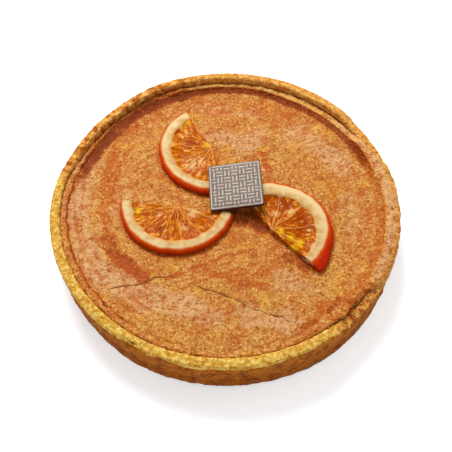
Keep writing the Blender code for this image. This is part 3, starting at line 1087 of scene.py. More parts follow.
# Each browned zone: its kind, how browned it is, how much a noise changes that, the size
# and seed of the noise, and the stretch of the edge. The back slope, the dark band and the
# left line are partly painted shade, on slopes that face away from the light and in a groove.
MOTTLE = (3.4, 147)
BROWNED_AND_SHADED = [
    ("back slope", 1.08, 0.0, MOTTLE, (64.0, 42.0, 12.0)),
    ("right slope", 0.5, 0.3, (3.0, 140), (-8.0, 38.0, 14.0)),
    ("dark band", 1.27, 0.5, MOTTLE, (136.0, 26.0, 14.0)),
    ("left line", 1.0625, 0.4375, (5.0, 149), (-170.0, 40.0, 20.0)),
    ("ridge", 0.6, 0.7, MOTTLE, (134.0, 24.0, 10.0)),
    ("ridge", 0.15, 0.5, MOTTLE, (-160.0, 40.0, 20.0)),
    ("ridge", 0.2, 0.5, (2.6, 152), LAPPED),
    ("ridge", 0.6, 0.7, (2.2, 154), TEAR),
]


def inside_ridge(points, angle):
    """How far each point lies inside the foot of the raised edge."""
    away = np.hypot(points[:, 0], points[:, 1])
    return wall_radius(angle) - GAP - ridge_width(angle) - away


def lid_relief(points, angle, place, crack):
    """How far each point of the lid moves out along its normal."""
    grain, tall = crumbs(points, *LID_CRUMBS)
    on_top = fall(place, *TOP_ENDS)
    on_edge = rise(place, *EDGE_STARTS) * on_top
    broad = rough(points, *LONG_WAVES) + rough(points, *SHORT_WAVES)
    fine = rough(points, *TOP_ROUGH) + LID_CRUMB_HEIGHT * (grain - 0.5) * (0.5 + tall)
    edge = rough(points, *RIDGE_ROUGH) + RIDGE_CRUMB_HEIGHT * (grain - 0.5)
    edge += broken(angle) * rough(points, *TORN_RIDGE)
    groove = line(inside_ridge(points, angle) + rough(points, *GROOVE_WAVER), *GROOVE)
    cut = PIT_DEPTH * spot_share(points[:, 0], points[:, 1], PITS)
    cut += CRACK_DEPTH * line(crack, 0.0, CRACK_WIDTH)
    cut += GROOVE_DEPTH * groove * hill(angle, *GROOVED)
    return on_top * (broad * (1.0 - 0.6 * on_edge) + fine - cut) + on_edge * edge


def brush_strokes(x, y, radius, angle):
    """Fine parallel lines from -1 to 1: lumps drawn out along the brush's way, which is
    round the cake near the rim and slanting across the middle."""
    slant_x, slant_y = math.cos(BRUSH_SLANT), math.sin(BRUSH_SLANT)
    ahead, aside = x * slant_x + y * slant_y, y * slant_x - x * slant_y
    round_way = np.radians(angle) * BRUSH_RADIUS / BRUSH_LENGTHS[1]
    across = np.stack([ahead / BRUSH_LENGTHS[0], aside / BRUSH_WIDTH, 0.0 * x], -1)
    around = np.stack([radius / BRUSH_WIDTH, round_way, 0.0 * x], -1)
    outer = rise(radius, *ROUND_STROKES) * hill(angle, *BRUSHED_ROUND)
    return lumps(across, 1.0, 151) * (1.0 - outer) + lumps(around, 1.0, 153) * outer


def edge_browning_and_shade(points, angle, place, inward):
    """Browning and painted shade along the lid's edge: the most that any zone gives."""
    on_slope = fall(place, *SLOPE_ENDS)
    band = inward + rough(points, *BAND_WAVER)
    kinds = {
        "back slope": fall(inward, *BACK_SLOPE) * on_slope,
        "right slope": fall(inward, *RIGHT_SLOPE) * on_slope,
        "dark band": rise(band, *BAND_STARTS) * fall(band, *BAND_ENDS),
        "left line": line(inward, *LEFT_LINE),
        "ridge": rise(place, *RIDGE_STARTS),
    }
    zones = [
        (shade + change * lumps(points, *noise)) * kinds[kind] * hill(angle, *stretch)
        for kind, shade, change, noise, stretch in BROWNED_AND_SHADED
    ]
    zones[0] += CREST_BROWN * line(inward, *CREST_LINE) * hill(angle, *BACK_CREST)
    front = hill(angle, *FRONT) * fall(inward, *FRONT_ENDS)
    zones.append(FRONT_BROWN * front + rough(points, *FRONT_MOTTLE))
    return np.maximum.reduce(zones)


def lid_numbers(points, angle, place, crack):
    """Browning with some painted shade, redness, painted sheen, paleness and depth, which is painted
    shade, at each point of the lid.
    """
    x, y = points[:, 0], points[:, 1]
    waver, waver_y = (rough(points, *size) for size in STROKE_WAVERS)
    brown = strokes(x + waver, y + waver_y, BROWN_STROKES) * (0.95 + rough(points, *STROKE_MOTTLE))
    # A ring of syrup and painted contact shadow round the slices
    ring_of_syrup_and_shadow = SYRUP_AND_SHADOW_BROWN * syrup_and_shadow(x, y + 1.0, SYRUP_AND_SHADOW_REACH + 0.8 * waver)
    edge_waver = rough(points, *BORDER_WAVER) + rough(points, *FINE_WAVER)
    inward = inside_ridge(points, angle) + edge_waver
    along_edge = edge_browning_and_shade(points, angle, place, inward)
    on_ridge = rise(place, *RIDGE_STARTS)
    lapped = hill(angle, *LAPPED)
    in_gap = rise(place + rough(points, *GAP_WAVER), *GAP_STARTS) * (1.0 - lapped)
    # Painted shade in the tear's holes, in the gap and in the pits
    dark_holes = 0.5 * painted_hole_shade(points, angle, 139) * on_ridge
    pits = PIT_DEPTH * spot_share(x, y, PITS)
    return {
        "brown": np.maximum.reduce([brown, ring_of_syrup_and_shadow, along_edge]),
        "red": strokes(x + 0.5 * waver, y, RED_SPOTS),
        # rose and sheen are painted sheen, where the studio light is reflected
        "rose": strokes(x + 2.0 * waver, y + rough(points, *PATCH_WAVER), SHEEN_PATCHES),
        "brush": brush_strokes(x, y, np.hypot(x, y), angle),
        "ridge": on_ridge * hill(angle, *TAN_RIDGE),
        "sandy": on_ridge * rise(edge_waver - inward, *SANDY_STARTS) * lapped,
        "sheen": on_ridge * line(inward, *SHEEN_LINE) * hill(angle, *SHINING),
        "crack": crack,
        # depth: painted shade in the gap, the tear's holes and the pits
        "depth": np.maximum.reduce([in_gap * gap_shade(angle), dark_holes, pits]),
    }


def make_lid_skin():
    rings = sum(LID_STEPS)
    side = 2 * rings + 1
    ring, square_x, square_y = square_rings(rings)
    angle = square_to_circle(square_x, square_y)
    place = rows_between(LID_STEPS)[ring]
    profile = along(lid_outline(angle), place)
    points = turned(profile[:, 0], angle, profile[:, 1])
    x, y = (
        points[:, axis] + sum(rough(points, *waver) for waver in CRACK_WAVERS[axis])
        for axis in (0, 1)
    )
    crack = np.min([near_path(x, y, path) for path in CRACKS], axis=0)
    crack = np.where(place > LID_TOP_END, FAR_AWAY, crack)
    numbers = lid_numbers(points, angle, place, crack)
    normal = slopes(points, side, side, False)
    points = points + normal * lid_relief(points, angle, place, crack)[:, None]
    return points, grid_faces(side, side, False), numbers


print("the lid has", sum(LID_STEPS), "rings and", len(PITS), "pits")

# %% [markdown]
# ## Egg-washed pastry
# Beaten egg browns in the oven to a thin skin: golden over the pale dough, orange where it
# pooled, caramel brown on the slope at the back, where painted shade darkens it further.
# Close up it is speckled with pale grains, whose tops carry painted glints, and with small
# pits and hollows that carry painted shade. The studio light leaves milky pink patches on
# it. A clear coat would shine all over, and this one hardly does, so the patches are
# painted sheen. The finish lays thin coats over gold, and the mesh says where the wash is
# browned and where shade is painted.

# %% The egg-wash finish
WASH_DEEP = paint(200, 120, 42)
WASH_GOLD = paint(228, 168, 84)
WASH_YELLOW = paint(234, 168, 50)
# Pale grains, and painted glints on the bump's tops
PALE_GRAIN_AND_GLINT = paint(252, 208, 134)
# Painted sheen: the milky pink of the studio light's reflection
PAINTED_SHEEN_ROSE = paint(230, 178, 132)
WASH_ORANGE = paint(192, 90, 8)
# Caramel brown, and painted shade on the slopes that face away from the light
CARAMEL_AND_SHADE_BROWN = paint(142, 58, 2)
WASH_RED = paint(192, 80, 10)
# Brown specks, and painted shade in the bump's hollows
PIT_BROWN_AND_SHADE = paint(140, 66, 12)
RIDGE_TAN = paint(246, 184, 96)
CRACK_DARK = paint(142, 72, 14)


def egg_washed():
    """Each coat of the recipe is where it shows, times how well it covers, and its paint."""
    finish = Finish("egg_washed_pastry")
    grains, attribute = finish.grains, finish.attribute
    lump = grains(3.4, 3.0)
    lift = lump * 0.7 + (grains(1.3, 2.0) * 1.4 - 0.38) - finish.pebbles(1.7) * 0.35
    brown = attribute("brown") + 0.52 - lift * 0.9
    wash = finish.cover(
        WASH_DEEP,
        (lift.fade(0.25, 0.75), WASH_GOLD),
        (grains(8.0, 3.0).fade(0.5, 0.7) * 0.62, WASH_ORANGE),
        (grains(20.0, 2.0).fade(0.4, 0.62) * 0.25, WASH_ORANGE),
        (grains(14.0, 3.0).fade(0.52, 0.66) * 0.5, WASH_YELLOW),
        # Painted sheen in patches
        (attribute("rose") * lump.fade(0.3, 0.62) * 0.8, PAINTED_SHEEN_ROSE),
        (attribute("brush").fade(0.1, 1.0) * 0.7, WASH_ORANGE),
        (attribute("ridge") * lump.fade(0.3, 0.6) * 0.85, RIDGE_TAN),
        # Painted sheen along the lapped edge on the right
        (attribute("sheen") * 0.75, PAINTED_SHEEN_ROSE),
        (attribute("sandy") * 0.4, RIM_GOLD),
        # Pale on the bump's tops: pale grains and painted glints
        (lift.fade(0.6, 0.95) * 0.72, PALE_GRAIN_AND_GLINT),
        # Darker in the bump's hollows: brown, and painted shade
        (lift.fade(0.38, 0.14) * 0.7, PIT_BROWN_AND_SHADE),
        (grains(0.9, 1.0).fade(0.6, 0.72) * 0.35, PIT_BROWN_AND_SHADE),
        # Browning, partly painted shade on the slopes, in the groove and round the slices
        (brown.fade(0.1, 0.95) * 0.92, WASH_ORANGE),
        (brown.fade(0.75, 1.3), CARAMEL_AND_SHADE_BROWN),
        ((attribute("red") * lift.fade(0.95, 0.35)).fade(0.0, 1.0), WASH_RED),
        (attribute("crack").fade(0.72, 0.3), CRACK_DARK),
        # Painted shade in the gap, the tear's holes and the pits
        (attribute("depth"), PAINTED_SHADE_BROWN),
    )
    return finish.done(
        base_color=wash, roughness=lift * -0.2 + 0.6, specular_ior_level=0.15,
        normal=finish.relief(lift, 0.6),
    )


lid = make_piece("pastry_lid_skin", egg_washed(), *make_lid_skin())

# %% [markdown]
# ## The skin of a slice
# A section through a slice is a closed outline. Its underside and its top have the
# same number of rows, so at each cut end the two can be zipped together row by row, which
# closes the cut face without a pole. The pulp's relief is drawn in the ray's own
# measures: membranes where a segment number is whole, and juice sacs as long drops that
# point at the core.

# %% Make a slice's skin
HALF_SECTION_ROWS = 93
FAN_COLUMNS = 250
CUT_COLUMNS = 7
# Shares of the rows under and over a slice, and the places on the outline they reach
ROWS_UNDER = ((0.0, 0.9, 1.0), (0.0, 2.0, 3.5))
ROWS_OVER = (
    (0.0, 0.06, 0.12, 0.16, 0.26, 0.31, 0.65, 1.0),
    (3.5, 4.0, 5.0, 6.0, 7.0, 8.0, 9.0, 10.0),
)
FIRST_SEGMENT = 0.45
SAC_DEGREES, SAC_LENGTH = 6.0, 5.0
SAC_HEIGHT, SAC_SINK = 0.4, 0.28
MEMBRANE_HEIGHT, MEMBRANE_WIDTH = 0.16, 0.6
SCALLOP_DEPTH, SCALLOP_WIDTH = 1.1, 2.2
PULP_WAVE, PITH_WAVE, SIDE_WAVE = 0.5, 0.22, 0.3
TOP_STARTS = (4.6, 1.0)
CORE_FADES = (2.0, 7.0)
RIPER = 0.7
SPOT_WAVER = 2.6
PULP_LUMP, PITH_LUMP, SIDE_LUMP = 7.0, 5.0, 4.0
# Each sine of the radius that bends the membranes: its height and its waves
MEMBRANE_WAVES = ((0.05, 0.31), (0.02, 0.73))


def slice_outline(reach, slant):
    """Radii and heights of a slice's section from the core's foot, under the slice, round
    the peel and back over the pith and the pulp to the core's top."""
    pith_edge = reach - RIND_WIDTH - slant
    pulp_edge = pith_edge - PITH_WIDTH
    top, pulp = SLICE_THICKNESS, SLICE_THICKNESS - FLESH_SINK
    pairs = [
        (0.0, 0.0),
        (0.5 * reach, 0.0),
        (reach - 0.7, 0.0),
        (reach, 0.25 * top),
        (reach - 0.3 - 0.5 * slant, 0.65 * top),
        (pith_edge, 0.94 * top),
        (pith_edge - 1.2, top),
        (pulp_edge + 0.8, top),
        (pulp_edge - 0.6, pulp + 0.2),
        (0.5 * pulp_edge, pulp),
        (0.0, pulp),
    ]
    return stack_outline(pairs, len(reach))


def section_places():
    """Places along a section: as many rows below as above the peel's middle."""
    shares = np.linspace(0.0, 1.0, HALF_SECTION_ROWS)
    return np.concatenate([np.interp(shares, *ROWS_UNDER), np.interp(shares, *ROWS_OVER)])


def zip_cuts(grid):
    """Adds columns at both ends of a grid of points, in which each row moves to the middle
    between itself and its partner on the other side of the section: the ends close."""
    shares = np.linspace(0.0, 1.0, CUT_COLUMNS + 1)[1:, None, None]
    left, right = (
        end + shares * (0.5 * (end + end[::-1]) - end) for end in (grid[:, 0], grid[:, -1])
    )
    return np.concatenate([left[::-1].swapaxes(0, 1), grid, right.swapaxes(0, 1)], axis=1)


def pulp_numbers(sizes, angle, radius):
    """How far each point is inside the rind and the pith and from the nearest membrane, and
    the sacs' relief: cells of direction and radius, so that they narrow towards the core."""
    reach, slant = ray_reach(sizes, angle)
    segment = angle / sizes["sweep"] * sizes["segments"] + FIRST_SEGMENT
    (high, long), (low, short) = MEMBRANE_WAVES
    waver = high * np.sin(long * radius + sizes["seed"]) + low * np.sin(short * radius)
    off_membrane = np.abs((segment + waver + 0.5) % 1.0 - 0.5)
    membrane = off_membrane * np.radians(sizes["sweep"] / sizes["segments"]) * radius
    scallop = SCALLOP_DEPTH * line(membrane, 0.0, SCALLOP_WIDTH)
    bent = angle + 3.0 * lumps(np.stack([radius, angle / 6.0, 0.0 * radius], -1), 5.0, sizes["seed"])
    cells = np.stack([bent / SAC_DEGREES, radius / SAC_LENGTH, 0.0 * radius], -1)
    sac, shade = crumbs(cells, 1.0, sizes["seed"])
    far_side = smooth_step(0.5 + 0.8 * np.sin(np.radians(angle + sizes["starts"])))
    return {
        "into_pith": reach - radius - (RIND_WIDTH + slant) * (1.0 - 0.65 * far_side),
        "membrane": membrane,
        "inside_pith": reach - radius - (RIND_WIDTH + slant + PITH_WIDTH + scallop - 0.4),
        "sac": sac,
        "shade": shade,
    }


def slice_matrix(sizes):
    """The slice's place: turned to its first ray, tilted with the lid, a gap above it."""
    x, y = sizes["core"]
    lid_tilt = Matrix.Rotation(-LID_SLOPE, 4, "X")
    turn = Matrix.Rotation(math.radians(sizes["starts"]), 4, "Z")
    rest = lid_height(y) + GAP / math.cos(LID_SLOPE)
    return Matrix.Translation((x, y, rest)) @ lid_tilt @ turn


def make_slice_skin(sizes):
    places, seed = section_places(), sizes["seed"]
    place, angle = every_pair(places, np.linspace(0.0, sizes["sweep"], FAN_COLUMNS))
    profile = along(slice_outline(*ray_reach(sizes, angle)), place)
    radius, height = profile[:, 0], profile[:, 1]
    numbers = pulp_numbers(sizes, angle, radius)
    in_pulp = smooth_step(numbers["inside_pith"])
    flat_place = turned(radius, angle, 0.0 * radius)
    relief = SAC_HEIGHT * numbers["sac"] * (0.5 + numbers["shade"]) - SAC_SINK
    lift = in_pulp * rise(radius, *CORE_FADES) * relief
    lift += in_pulp * PULP_WAVE * lumps(flat_place, PULP_LUMP, seed)
    lift += in_pulp * MEMBRANE_HEIGHT * line(numbers["membrane"], 0.0, MEMBRANE_WIDTH)
    lift += (1.0 - in_pulp) * PITH_WAVE * lumps(flat_place, PITH_LUMP, seed + 5)
    curl = sizes["curl"] * rise(-flat_place[:, 0], CURL_START, CURL_LENGTH)
    height = np.maximum(height + rise(place, *TOP_STARTS) * lift + curl, 0.0)
    on_peel = (place > 2.0) * (place < 6.0)
    radius = radius + SIDE_WAVE * lumps(flat_place, SIDE_LUMP, seed + 9) * on_peel
    points = placed(turned(radius, angle, height), slice_matrix(sizes))
    x, y, waver = points[:, 0], points[:, 1], lumps(points, SPOT_WAVER, seed + 2)
    numbers["yellow"] = spot_share(x + waver, y + waver, sizes["yellow"])
    numbers["pale_and_highlight"] = spot_share(x, y, sizes["pale_and_highlight"])
    numbers["ripeness"] = sizes["ripeness"] + RIPER * spot_share(x, y, sizes["deep"])
    rows = len(places)
    points = zip_cuts(points.reshape(rows, FAN_COLUMNS, 3)).reshape(-1, 3)
    beside = ((0, 0), (CUT_COLUMNS, CUT_COLUMNS))
    for title, values in numbers.items():
        numbers[title] = np.pad(values.reshape(rows, FAN_COLUMNS), beside, "edge").ravel()
    return points, grid_faces(rows, FAN_COLUMNS + 2 * CUT_COLUMNS, False), numbers


print("a slice has", 2 * HALF_SECTION_ROWS, "rows of", FAN_COLUMNS + 2 * CUT_COLUMNS, "points")

# %% [markdown]
# ## Candied orange
# Syrup makes the whole slice glassy. The rind is a deep red-orange, lighter orange beside
# the pith, which is partly a painted highlight. The pith turns from white to cream and lets
# a little light through, and the pulp runs from yellow to blood-orange from slice to slice,
# lighter along its membranes. The brightest sacs and some pale spots of pulp carry painted
# highlights. Three plain colours in rings would look like plastic, so the borders waver,
# the sacs vary in colour, and some light is scattered under the surface.

# %% The candied finish
RIND_RED = paint(194, 36, 0)
# The rind's orange beside the pith, partly a painted highlight
RIND_ORANGE_AND_HIGHLIGHT = paint(230, 86, 0)
PITH_CREAM = paint(212, 158, 88)
PITH_PALE = paint(236, 206, 148)
PULP_ORANGE = paint(192, 86, 0)
PULP_LIGHT = paint(230, 146, 20)
PULP_DEEP = paint(164, 62, 0)
PULP_YELLOW = paint(246, 196, 16)
# Pale cream pulp, and painted highlights on the pulp
PULP_CREAM_AND_HIGHLIGHT = paint(238, 190, 122)
MEMBRANE = paint(232, 166, 84)


def candied():
    """Three finishes in one, from the pulp outwards, with wavering borders between them."""
    finish = Finish("candied_orange")
    fine, soft = finish.grains(1.4), finish.grains(4.0)
    titles = ("sac", "shade", "inside_pith", "into_pith")
    sac, shade, inside_pith, into_pith = (finish.attribute(title) for title in titles)
    bright = shade * 0.7 + (sac * 0.7 + (fine * 2.0 - 1.3))
    sacs = finish.cover(
        PULP_ORANGE,
        (bright.fade(0.2, 1.1), PULP_LIGHT),
        ((finish.attribute("ripeness") - bright * 0.7).fade(-0.3, 0.9), PULP_DEEP),
        # Pale pulp in spots, partly painted highlight
        (finish.attribute("pale_and_highlight") * bright.fade(-0.1, 0.8) * 0.95, PULP_CREAM_AND_HIGHLIGHT),
        # Painted glints on the brightest sacs
        (bright.fade(0.85, 1.2) * 0.8, PULP_CREAM_AND_HIGHLIGHT),
        (finish.attribute("yellow") * bright.fade(-0.5, 0.6), PULP_YELLOW),
        (finish.attribute("membrane").fade(0.45, 0.1) * 0.65, MEMBRANE),
    )
    milky = fine * 0.2 + inside_pith * -0.08 + (soft - 0.1)
    pith = finish.mix(milky.fade(0.4, 1.0), PITH_CREAM, PITH_PALE)
    # Rind: red at the side, orange towards the pith, where the orange is partly a painted highlight
    rind = finish.mix((soft * 2.4 + into_pith).fade(-2.6, 2.2), RIND_RED, RIND_ORANGE_AND_HIGHLIGHT)
    waver = fine - 0.5
    inner = finish.mix((waver + inside_pith).fade(-0.45, 0.55), pith, sacs)
    fruit = finish.mix((waver + into_pith).fade(-0.9, 0.9), rind, inner)
    return finish.done(
        base_color=fruit, roughness=0.36, specular_ior_level=0.02,
        subsurface_weight=0.06, subsurface_radius=(1.0, 0.45, 0.2), subsurface_scale=1.2 * MM,
        coat_weight=0.04, coat_roughness=0.08, normal=finish.relief(fine, 0.25),
    )


candied_orange = candied()
slices = {
    name: make_piece(name + "_skin", candied_orange, *make_slice_skin(sizes))
    for name, sizes in SLICES.items()
}

# %% [markdown]
# ## The chocolate plaque
# A thin square of dark chocolate rests on the slices' inner ends and leans to the left. A
# cocoa-butter print covers its top. A cube with a Bevel modifier would have the right
# outline, but nothing of cast chocolate: the rounded corners, the faint waves of the
# surface, the rough snapped edge. So the same square rings that made the lid are laid over
# a plate's section here, and stay square.

# %% Make the plaque's skin
PLAQUE_SIDE = 33.5
PLAQUE_THICKNESS = 2.0
PLAQUE_BEVEL = 0.35
PLAQUE_MIDDLE = (6.2, 7.8, 33.3)
PLAQUE_TURN = 3.4
PLAQUE_LEAN_BACK = 1.4
PLAQUE_LEAN_LEFT = -8.0
PLAQUE_STEPS = (56, 4, 4, 6, 4, 6)
PLAQUE_WAVE = (0.05, 9.0, 1, 201)
SNAPPED_EDGE = (0.12, 1.4, 2, 203)
SNAP_STARTS, SNAP_ENDS = (2.4, 0.5), (4.6, 0.4)
PRINT_ENDS = (1.6, 0.8)
CORNER_POWER = 26.0


def plaque_matrix():
    """The plaque's place: leaning left, then back, then turned, with its middle set."""
    matrix = Matrix.Translation(PLAQUE_MIDDLE)
    for degrees, axis in ((PLAQUE_TURN, "Z"), (PLAQUE_LEAN_BACK, "X"), (PLAQUE_LEAN_LEFT, "Y")):
        matrix = matrix @ Matrix.Rotation(math.radians(degrees), 4, axis)
    return matrix


def plaque_outline(count):
    """Half widths and heights from the top's middle over the edge to the underside's."""
    half, up = 0.5 * PLAQUE_SIDE, 0.5 * PLAQUE_THICKNESS
    pairs = [
        (0.0, up),
        (half - 1.5 * PLAQUE_BEVEL, up),
        (half - 0.3 * PLAQUE_BEVEL, up - 0.3 * PLAQUE_BEVEL),
        (half, up - 1.3 * PLAQUE_BEVEL),
        (half - 0.1, 0.3 * PLAQUE_BEVEL - up),
        (half - 1.5 * PLAQUE_BEVEL, -up),
        (0.0, -up),
    ]
    return stack_outline(pairs, count)


def make_plaque_skin():
    """The unit square's corners are rounded a little by a power norm: a point is pulled in
    by (|x|^n + |y|^n)^(1/n), which is 1 along the sides and a few percent more at corners."""
    rings = sum(PLAQUE_STEPS)
    side = 2 * rings + 1
    ring, x, y = square_rings(rings)
    place = rows_between(PLAQUE_STEPS)[ring]
    pull = (np.abs(x) ** CORNER_POWER + np.abs(y) ** CORNER_POWER) ** (1.0 / CORNER_POWER)
    pull = np.maximum(pull, 1.0)
    profile = along(plaque_outline(len(ring)), place)
    flat_points = np.stack([profile[:, 0] * x / pull, profile[:, 0] * y / pull, profile[:, 1]], -1)
    snapped = rough(flat_points, *SNAPPED_EDGE) * rise(place, *SNAP_STARTS) * fall(place, *SNAP_ENDS)
    moved = (rough(flat_points, *PLAQUE_WAVE) + snapped)[:, None]
    raised = flat_points + slopes(flat_points, side, side, False) * moved
    numbers = {
        "print_x": flat_points[:, 0],
        "print_y": flat_points[:, 1],
        "printed": fall(place, *PRINT_ENDS),
    }
    return placed(raised, plaque_matrix()), grid_faces(side, side, False), numbers


# %% [markdown]
# ## A made-up print
# Such plaques carry a shop's own design. This one gets the oldest ornament there is, a
# basket weave: strokes in twos, upright in one square and lying in the next, in cream on
# grey-brown inside a thin frame. The grey-brown ground is partly a painted reflection of
# the studio light on the glossy chocolate. A picture could be laid on it, but the pattern
# is so regular that a formula is shorter: whole numbers of squares say which way the
# strokes run, and the fractions that are left say where a stroke is.

# %% The printed finish
WEAVE_SQUARE = 4.75
# Squares are counted from far outside, so that the plaque's middle is in the middle of one
WEAVE_START = 9.5
STROKE_SIDES = (0.23, 0.15)
STROKE_ENDS = (0.44, 0.4)
FRAME_INSIDE = 14.4
FRAME_LINES = (15.3, 15.9)
PRINT_SOFTNESS = 0.15
# Taupe ground of the print, partly a painted reflection of the studio light
TAUPE_PRINT_AND_REFLECTION = paint(122, 104, 94)
TAUPE_PRINT_AND_REFLECTION_DARK = paint(106, 90, 80)
PRINT_CREAM = paint(212, 192, 170)
CHOCOLATE = paint(70, 20, 12)


def strokes_across(across, lengthwise):
    """Two strokes in a square: across and lengthwise are fractions of its side."""
    off_middle = ((across * 2.0).maths("FRACT") - 0.5).maths("ABSOLUTE")
    off_centre = (lengthwise - 0.5).maths("ABSOLUTE")
    return off_middle.fade(*STROKE_SIDES) * off_centre.fade(*STROKE_ENDS)


def print_pattern(finish):
    """1 on the cream print: a basket weave and a thin frame."""
    x, y = finish.attribute("print_x"), finish.attribute("print_y")
    across, upward = (v * (1.0 / WEAVE_SQUARE) + WEAVE_START for v in (x, y))
    upright = (across.maths("FLOOR") + upward.maths("FLOOR")).maths("MODULO", 2.0)
    across, upward = across.maths("FRACT"), upward.maths("FRACT")
    standing = strokes_across(across, upward) * upright
    resting = strokes_across(upward, across) * (upright * -1.0 + 1.0)
    edge = x.maths("ABSOLUTE").maths("MAXIMUM", y.maths("ABSOLUTE"))
    weave = (standing + resting) * edge.fade(FRAME_INSIDE, FRAME_INSIDE - PRINT_SOFTNESS)
    inner, outer = FRAME_LINES
    border = edge.fade(inner - PRINT_SOFTNESS, inner) * edge.fade(outer + PRINT_SOFTNESS, outer)
    return weave.maths("MAXIMUM", border)


def printed_chocolate():
    finish = Finish("printed_chocolate")
    worn = finish.grains(1.4, 3.0).fade(0.3, 0.44)
    cloudy = finish.grains(6.0).fade(0.35, 0.65)
    # The ground: taupe, partly a painted reflection of the light on the glossy chocolate
    ground = finish.mix(cloudy, TAUPE_PRINT_AND_REFLECTION, TAUPE_PRINT_AND_REFLECTION_DARK)
    top = finish.mix(print_pattern(finish) * worn * 0.9, ground, PRINT_CREAM)
    return finish.done(
        base_color=finish.mix(finish.attribute("printed"), CHOCOLATE, top), roughness=0.5,
        specular_ior_level=0.25, coat_weight=0.04, coat_roughness=0.3,
        normal=finish.relief(cloudy, 0.03),
    )


plaque = make_piece("chocolate_plaque_skin", printed_chocolate(), *make_plaque_skin())

# %% [markdown]
# ## Loose crumbs
# Where the lid was cut and pressed in, crumbs lie in the gap beside the rim and in the tear
# at the lower right. Each is a small rough ball. They could be scattered by a particle
# system, but those don't leave Blender with the model, so all of them are worked out as
# one array, with one axis for the crumbs and one for the points of a crumb, and
# become a single mesh.

# %% Make the crumbs
CRUMB_COUNT = 520
CRUMB_RINGS = 5
CRUMB_SIDES = 7
CRUMB_RADII = (0.2, 0.46)
CRUMB_STRETCH = (0.7, 1.3)
CRUMB_ROUGHNESS, CRUMB_LUMP = 0.16, 0.45
EVERY_TORN = 7
GAP_ANGLES, GAP_RADII = (60.0, 318.0), (-0.7, 0.6)
TEAR_ANGLES, TEAR_RADII = (-43.0, 5.0), (-1.5, 4.0)


def ball():
    """Points and faces of a small ball: rings of a sphere, poles included as rings of
    equal points."""
    around = np.arange(CRUMB_SIDES) * 360.0 / CRUMB_SIDES
    up, around = every_pair(np.radians(np.linspace(-90.0, 90.0, CRUMB_RINGS)), around)
    return turned(np.cos(up), around, np.sin(up)), grid_faces(CRUMB_RINGS, CRUMB_SIDES, True)


def make_crumbs():
    """Crumbs from 0.4 to 0.9 mm, most of them in the gap, every seventh in the tear. Each
    one's poles are drawn together, so that it closes."""
    draw = np.random.default_rng(77)
    count = CRUMB_COUNT
    angle = draw.uniform(*GAP_ANGLES, count)
    torn = np.arange(count) % EVERY_TORN == 0
    angle = np.where(torn, draw.normal(*TEAR_ANGLES, count), angle)
    off_wall = np.where(torn, draw.uniform(*TEAR_RADII, count), draw.uniform(*GAP_RADII, count))
    size = draw.uniform(*CRUMB_RADII, count)[:, None, None]
    low = np.minimum(ridge_height(angle), rim_top(angle)) - 0.5
    middle = turned(wall_radius(angle) + off_wall, angle, np.where(torn, rim_top(angle) + 0.2, low))
    shape, faces = ball()
    points = middle[:, None] + shape[None] * size * draw.uniform(*CRUMB_STRETCH, (count, 1, 3))
    points = points.reshape(-1, 3)
    points += CRUMB_ROUGHNESS * np.stack([lumps(points, CRUMB_LUMP, 301 + k) for k in range(3)], -1)
    rings = points.reshape(count, CRUMB_RINGS, CRUMB_SIDES, 3)
    for pole in (0, -1):
        rings[:, pole] = rings[:, pole].mean(axis=1, keepdims=True)
    each = len(shape)
    faces = (faces[None] + each * np.arange(count)[:, None, None]).reshape(-1, 4)
    numbers = {
        "above_border": np.full(len(points), 3.0),
        "gold": np.repeat(draw.uniform(0.0, 1.0, count), each),
        "rust": np.full(len(points), RUST),
        # Each crumb gets a random share, up to 0.2, of the painted shade colour
        "depth": np.repeat(draw.uniform(0.0, 0.2, count), each),
    }
    return rings.reshape(-1, 3), faces, numbers


loose_crumbs = make_piece("loose_crumbs", case.data.materials[0], *make_crumbs())

# %% [markdown]
# ## Hand the pieces over
# Each skin stands for its solid, which is hidden, and rides on the cake's one body. The
# crumbs stand for nothing and only ride along.

# %% Pieces on their body
HANDED_OVER = [
    (case, "pastry_shell", "baked_shortcrust"),
    (lid, "pastry_lid", "glazed_lid_pastry"),
    (slices["orange_slice_back"], "orange_slice_back", "candied_orange"),
    (slices["orange_slice_left"], "orange_slice_left", "candied_orange"),
    (slices["orange_slice_right"], "orange_slice_right", "candied_orange"),
    (plaque, "chocolate_plaque", "printed_chocolate"),
]
for piece, solid, slot_name in HANDED_OVER:
    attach(piece, "root")
    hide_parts(solid)
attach(loose_crumbs, "root")

# %% [markdown]
# ## Floor and light
# The picture has a white ground without a horizon, and a very soft light from above and
# behind, which leaves the front of the cake in its own shade. One large panel behind and
# above, a little to the left, gives that light. A weaker one at the upper right helps it,
# and a white sky, which the camera sees at full strength, fills the rest. The Standard
# view keeps the ground white, where a film-like view would turn it grey.

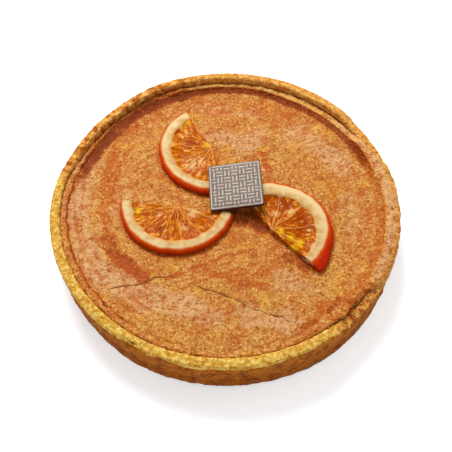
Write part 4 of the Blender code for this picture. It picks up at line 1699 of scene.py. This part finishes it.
# %% Floor and light
FLOOR_RADIUS = 3.0
FLOOR_WHITE = (0.92, 0.92, 0.92, 1.0)
FLOOR_GLOW = 0.5
SKY_WHITE = (0.95, 0.98, 1.0, 1.0)
SKY_STRENGTH = 0.42
# Each panel: its place and size in metres, and its power in watts
PANELS = {
    "back_panel": ((-0.26, 0.8, 1.0), 0.6, 13.6),
    "right_panel": ((0.8, 0.2, 0.9), 0.6, 1.2),
}


def add_floor():
    white = Finish("white_floor").done(
        base_color=FLOOR_WHITE, roughness=0.9,
        emission_color=(1.0, 1.0, 1.0, 1.0), emission_strength=FLOOR_GLOW,
    )
    bpy.ops.mesh.primitive_circle_add(vertices=96, radius=FLOOR_RADIUS, fill_type="NGON")
    floor = bpy.context.object
    floor.name = "floor"
    floor.data.materials.append(white)
    floor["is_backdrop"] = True


def add_light():
    sky = bpy.data.worlds.new("white_sky")
    sky.use_nodes = True
    background = sky.node_tree.nodes["Background"]
    background.inputs["Color"].default_value = SKY_WHITE
    seen = add_node(sky.node_tree, "LightPath", {}, "Is Camera Ray")
    strength = seen * (1.0 - SKY_STRENGTH) + SKY_STRENGTH
    plug(sky.node_tree, strength, background.inputs["Strength"])
    bpy.context.scene.world = sky
    for name, (place, size, power) in PANELS.items():
        panel = bpy.data.objects.new(name, bpy.data.lights.new(name, "AREA"))
        panel.data.shape = "DISK"
        panel.data.size = size
        panel.data.energy = power
        panel.location = place
        panel.rotation_euler = (-Vector(place)).to_track_quat("-Z", "Y").to_euler()
        bpy.context.scene.collection.objects.link(panel)
    bpy.context.scene.view_settings.view_transform = "Standard"


add_floor()
add_light()
print("panels:", sorted(PANELS))

# %% [markdown]
# ## The sizes of both boxes
# The dressed cake has to be as large as the solid model. Both boxes are printed, in
# millimetres.

# %% Print the sizes
dressed_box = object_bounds()
boxes = {
    "cad": [list(corner) for corner in solid_box],
    "visual": [list(corner) for corner in dressed_box],
}
for title, corners in boxes.items():
    print(title, "box in millimetres:", [[round(v / MM, 1) for v in corner] for corner in corners])
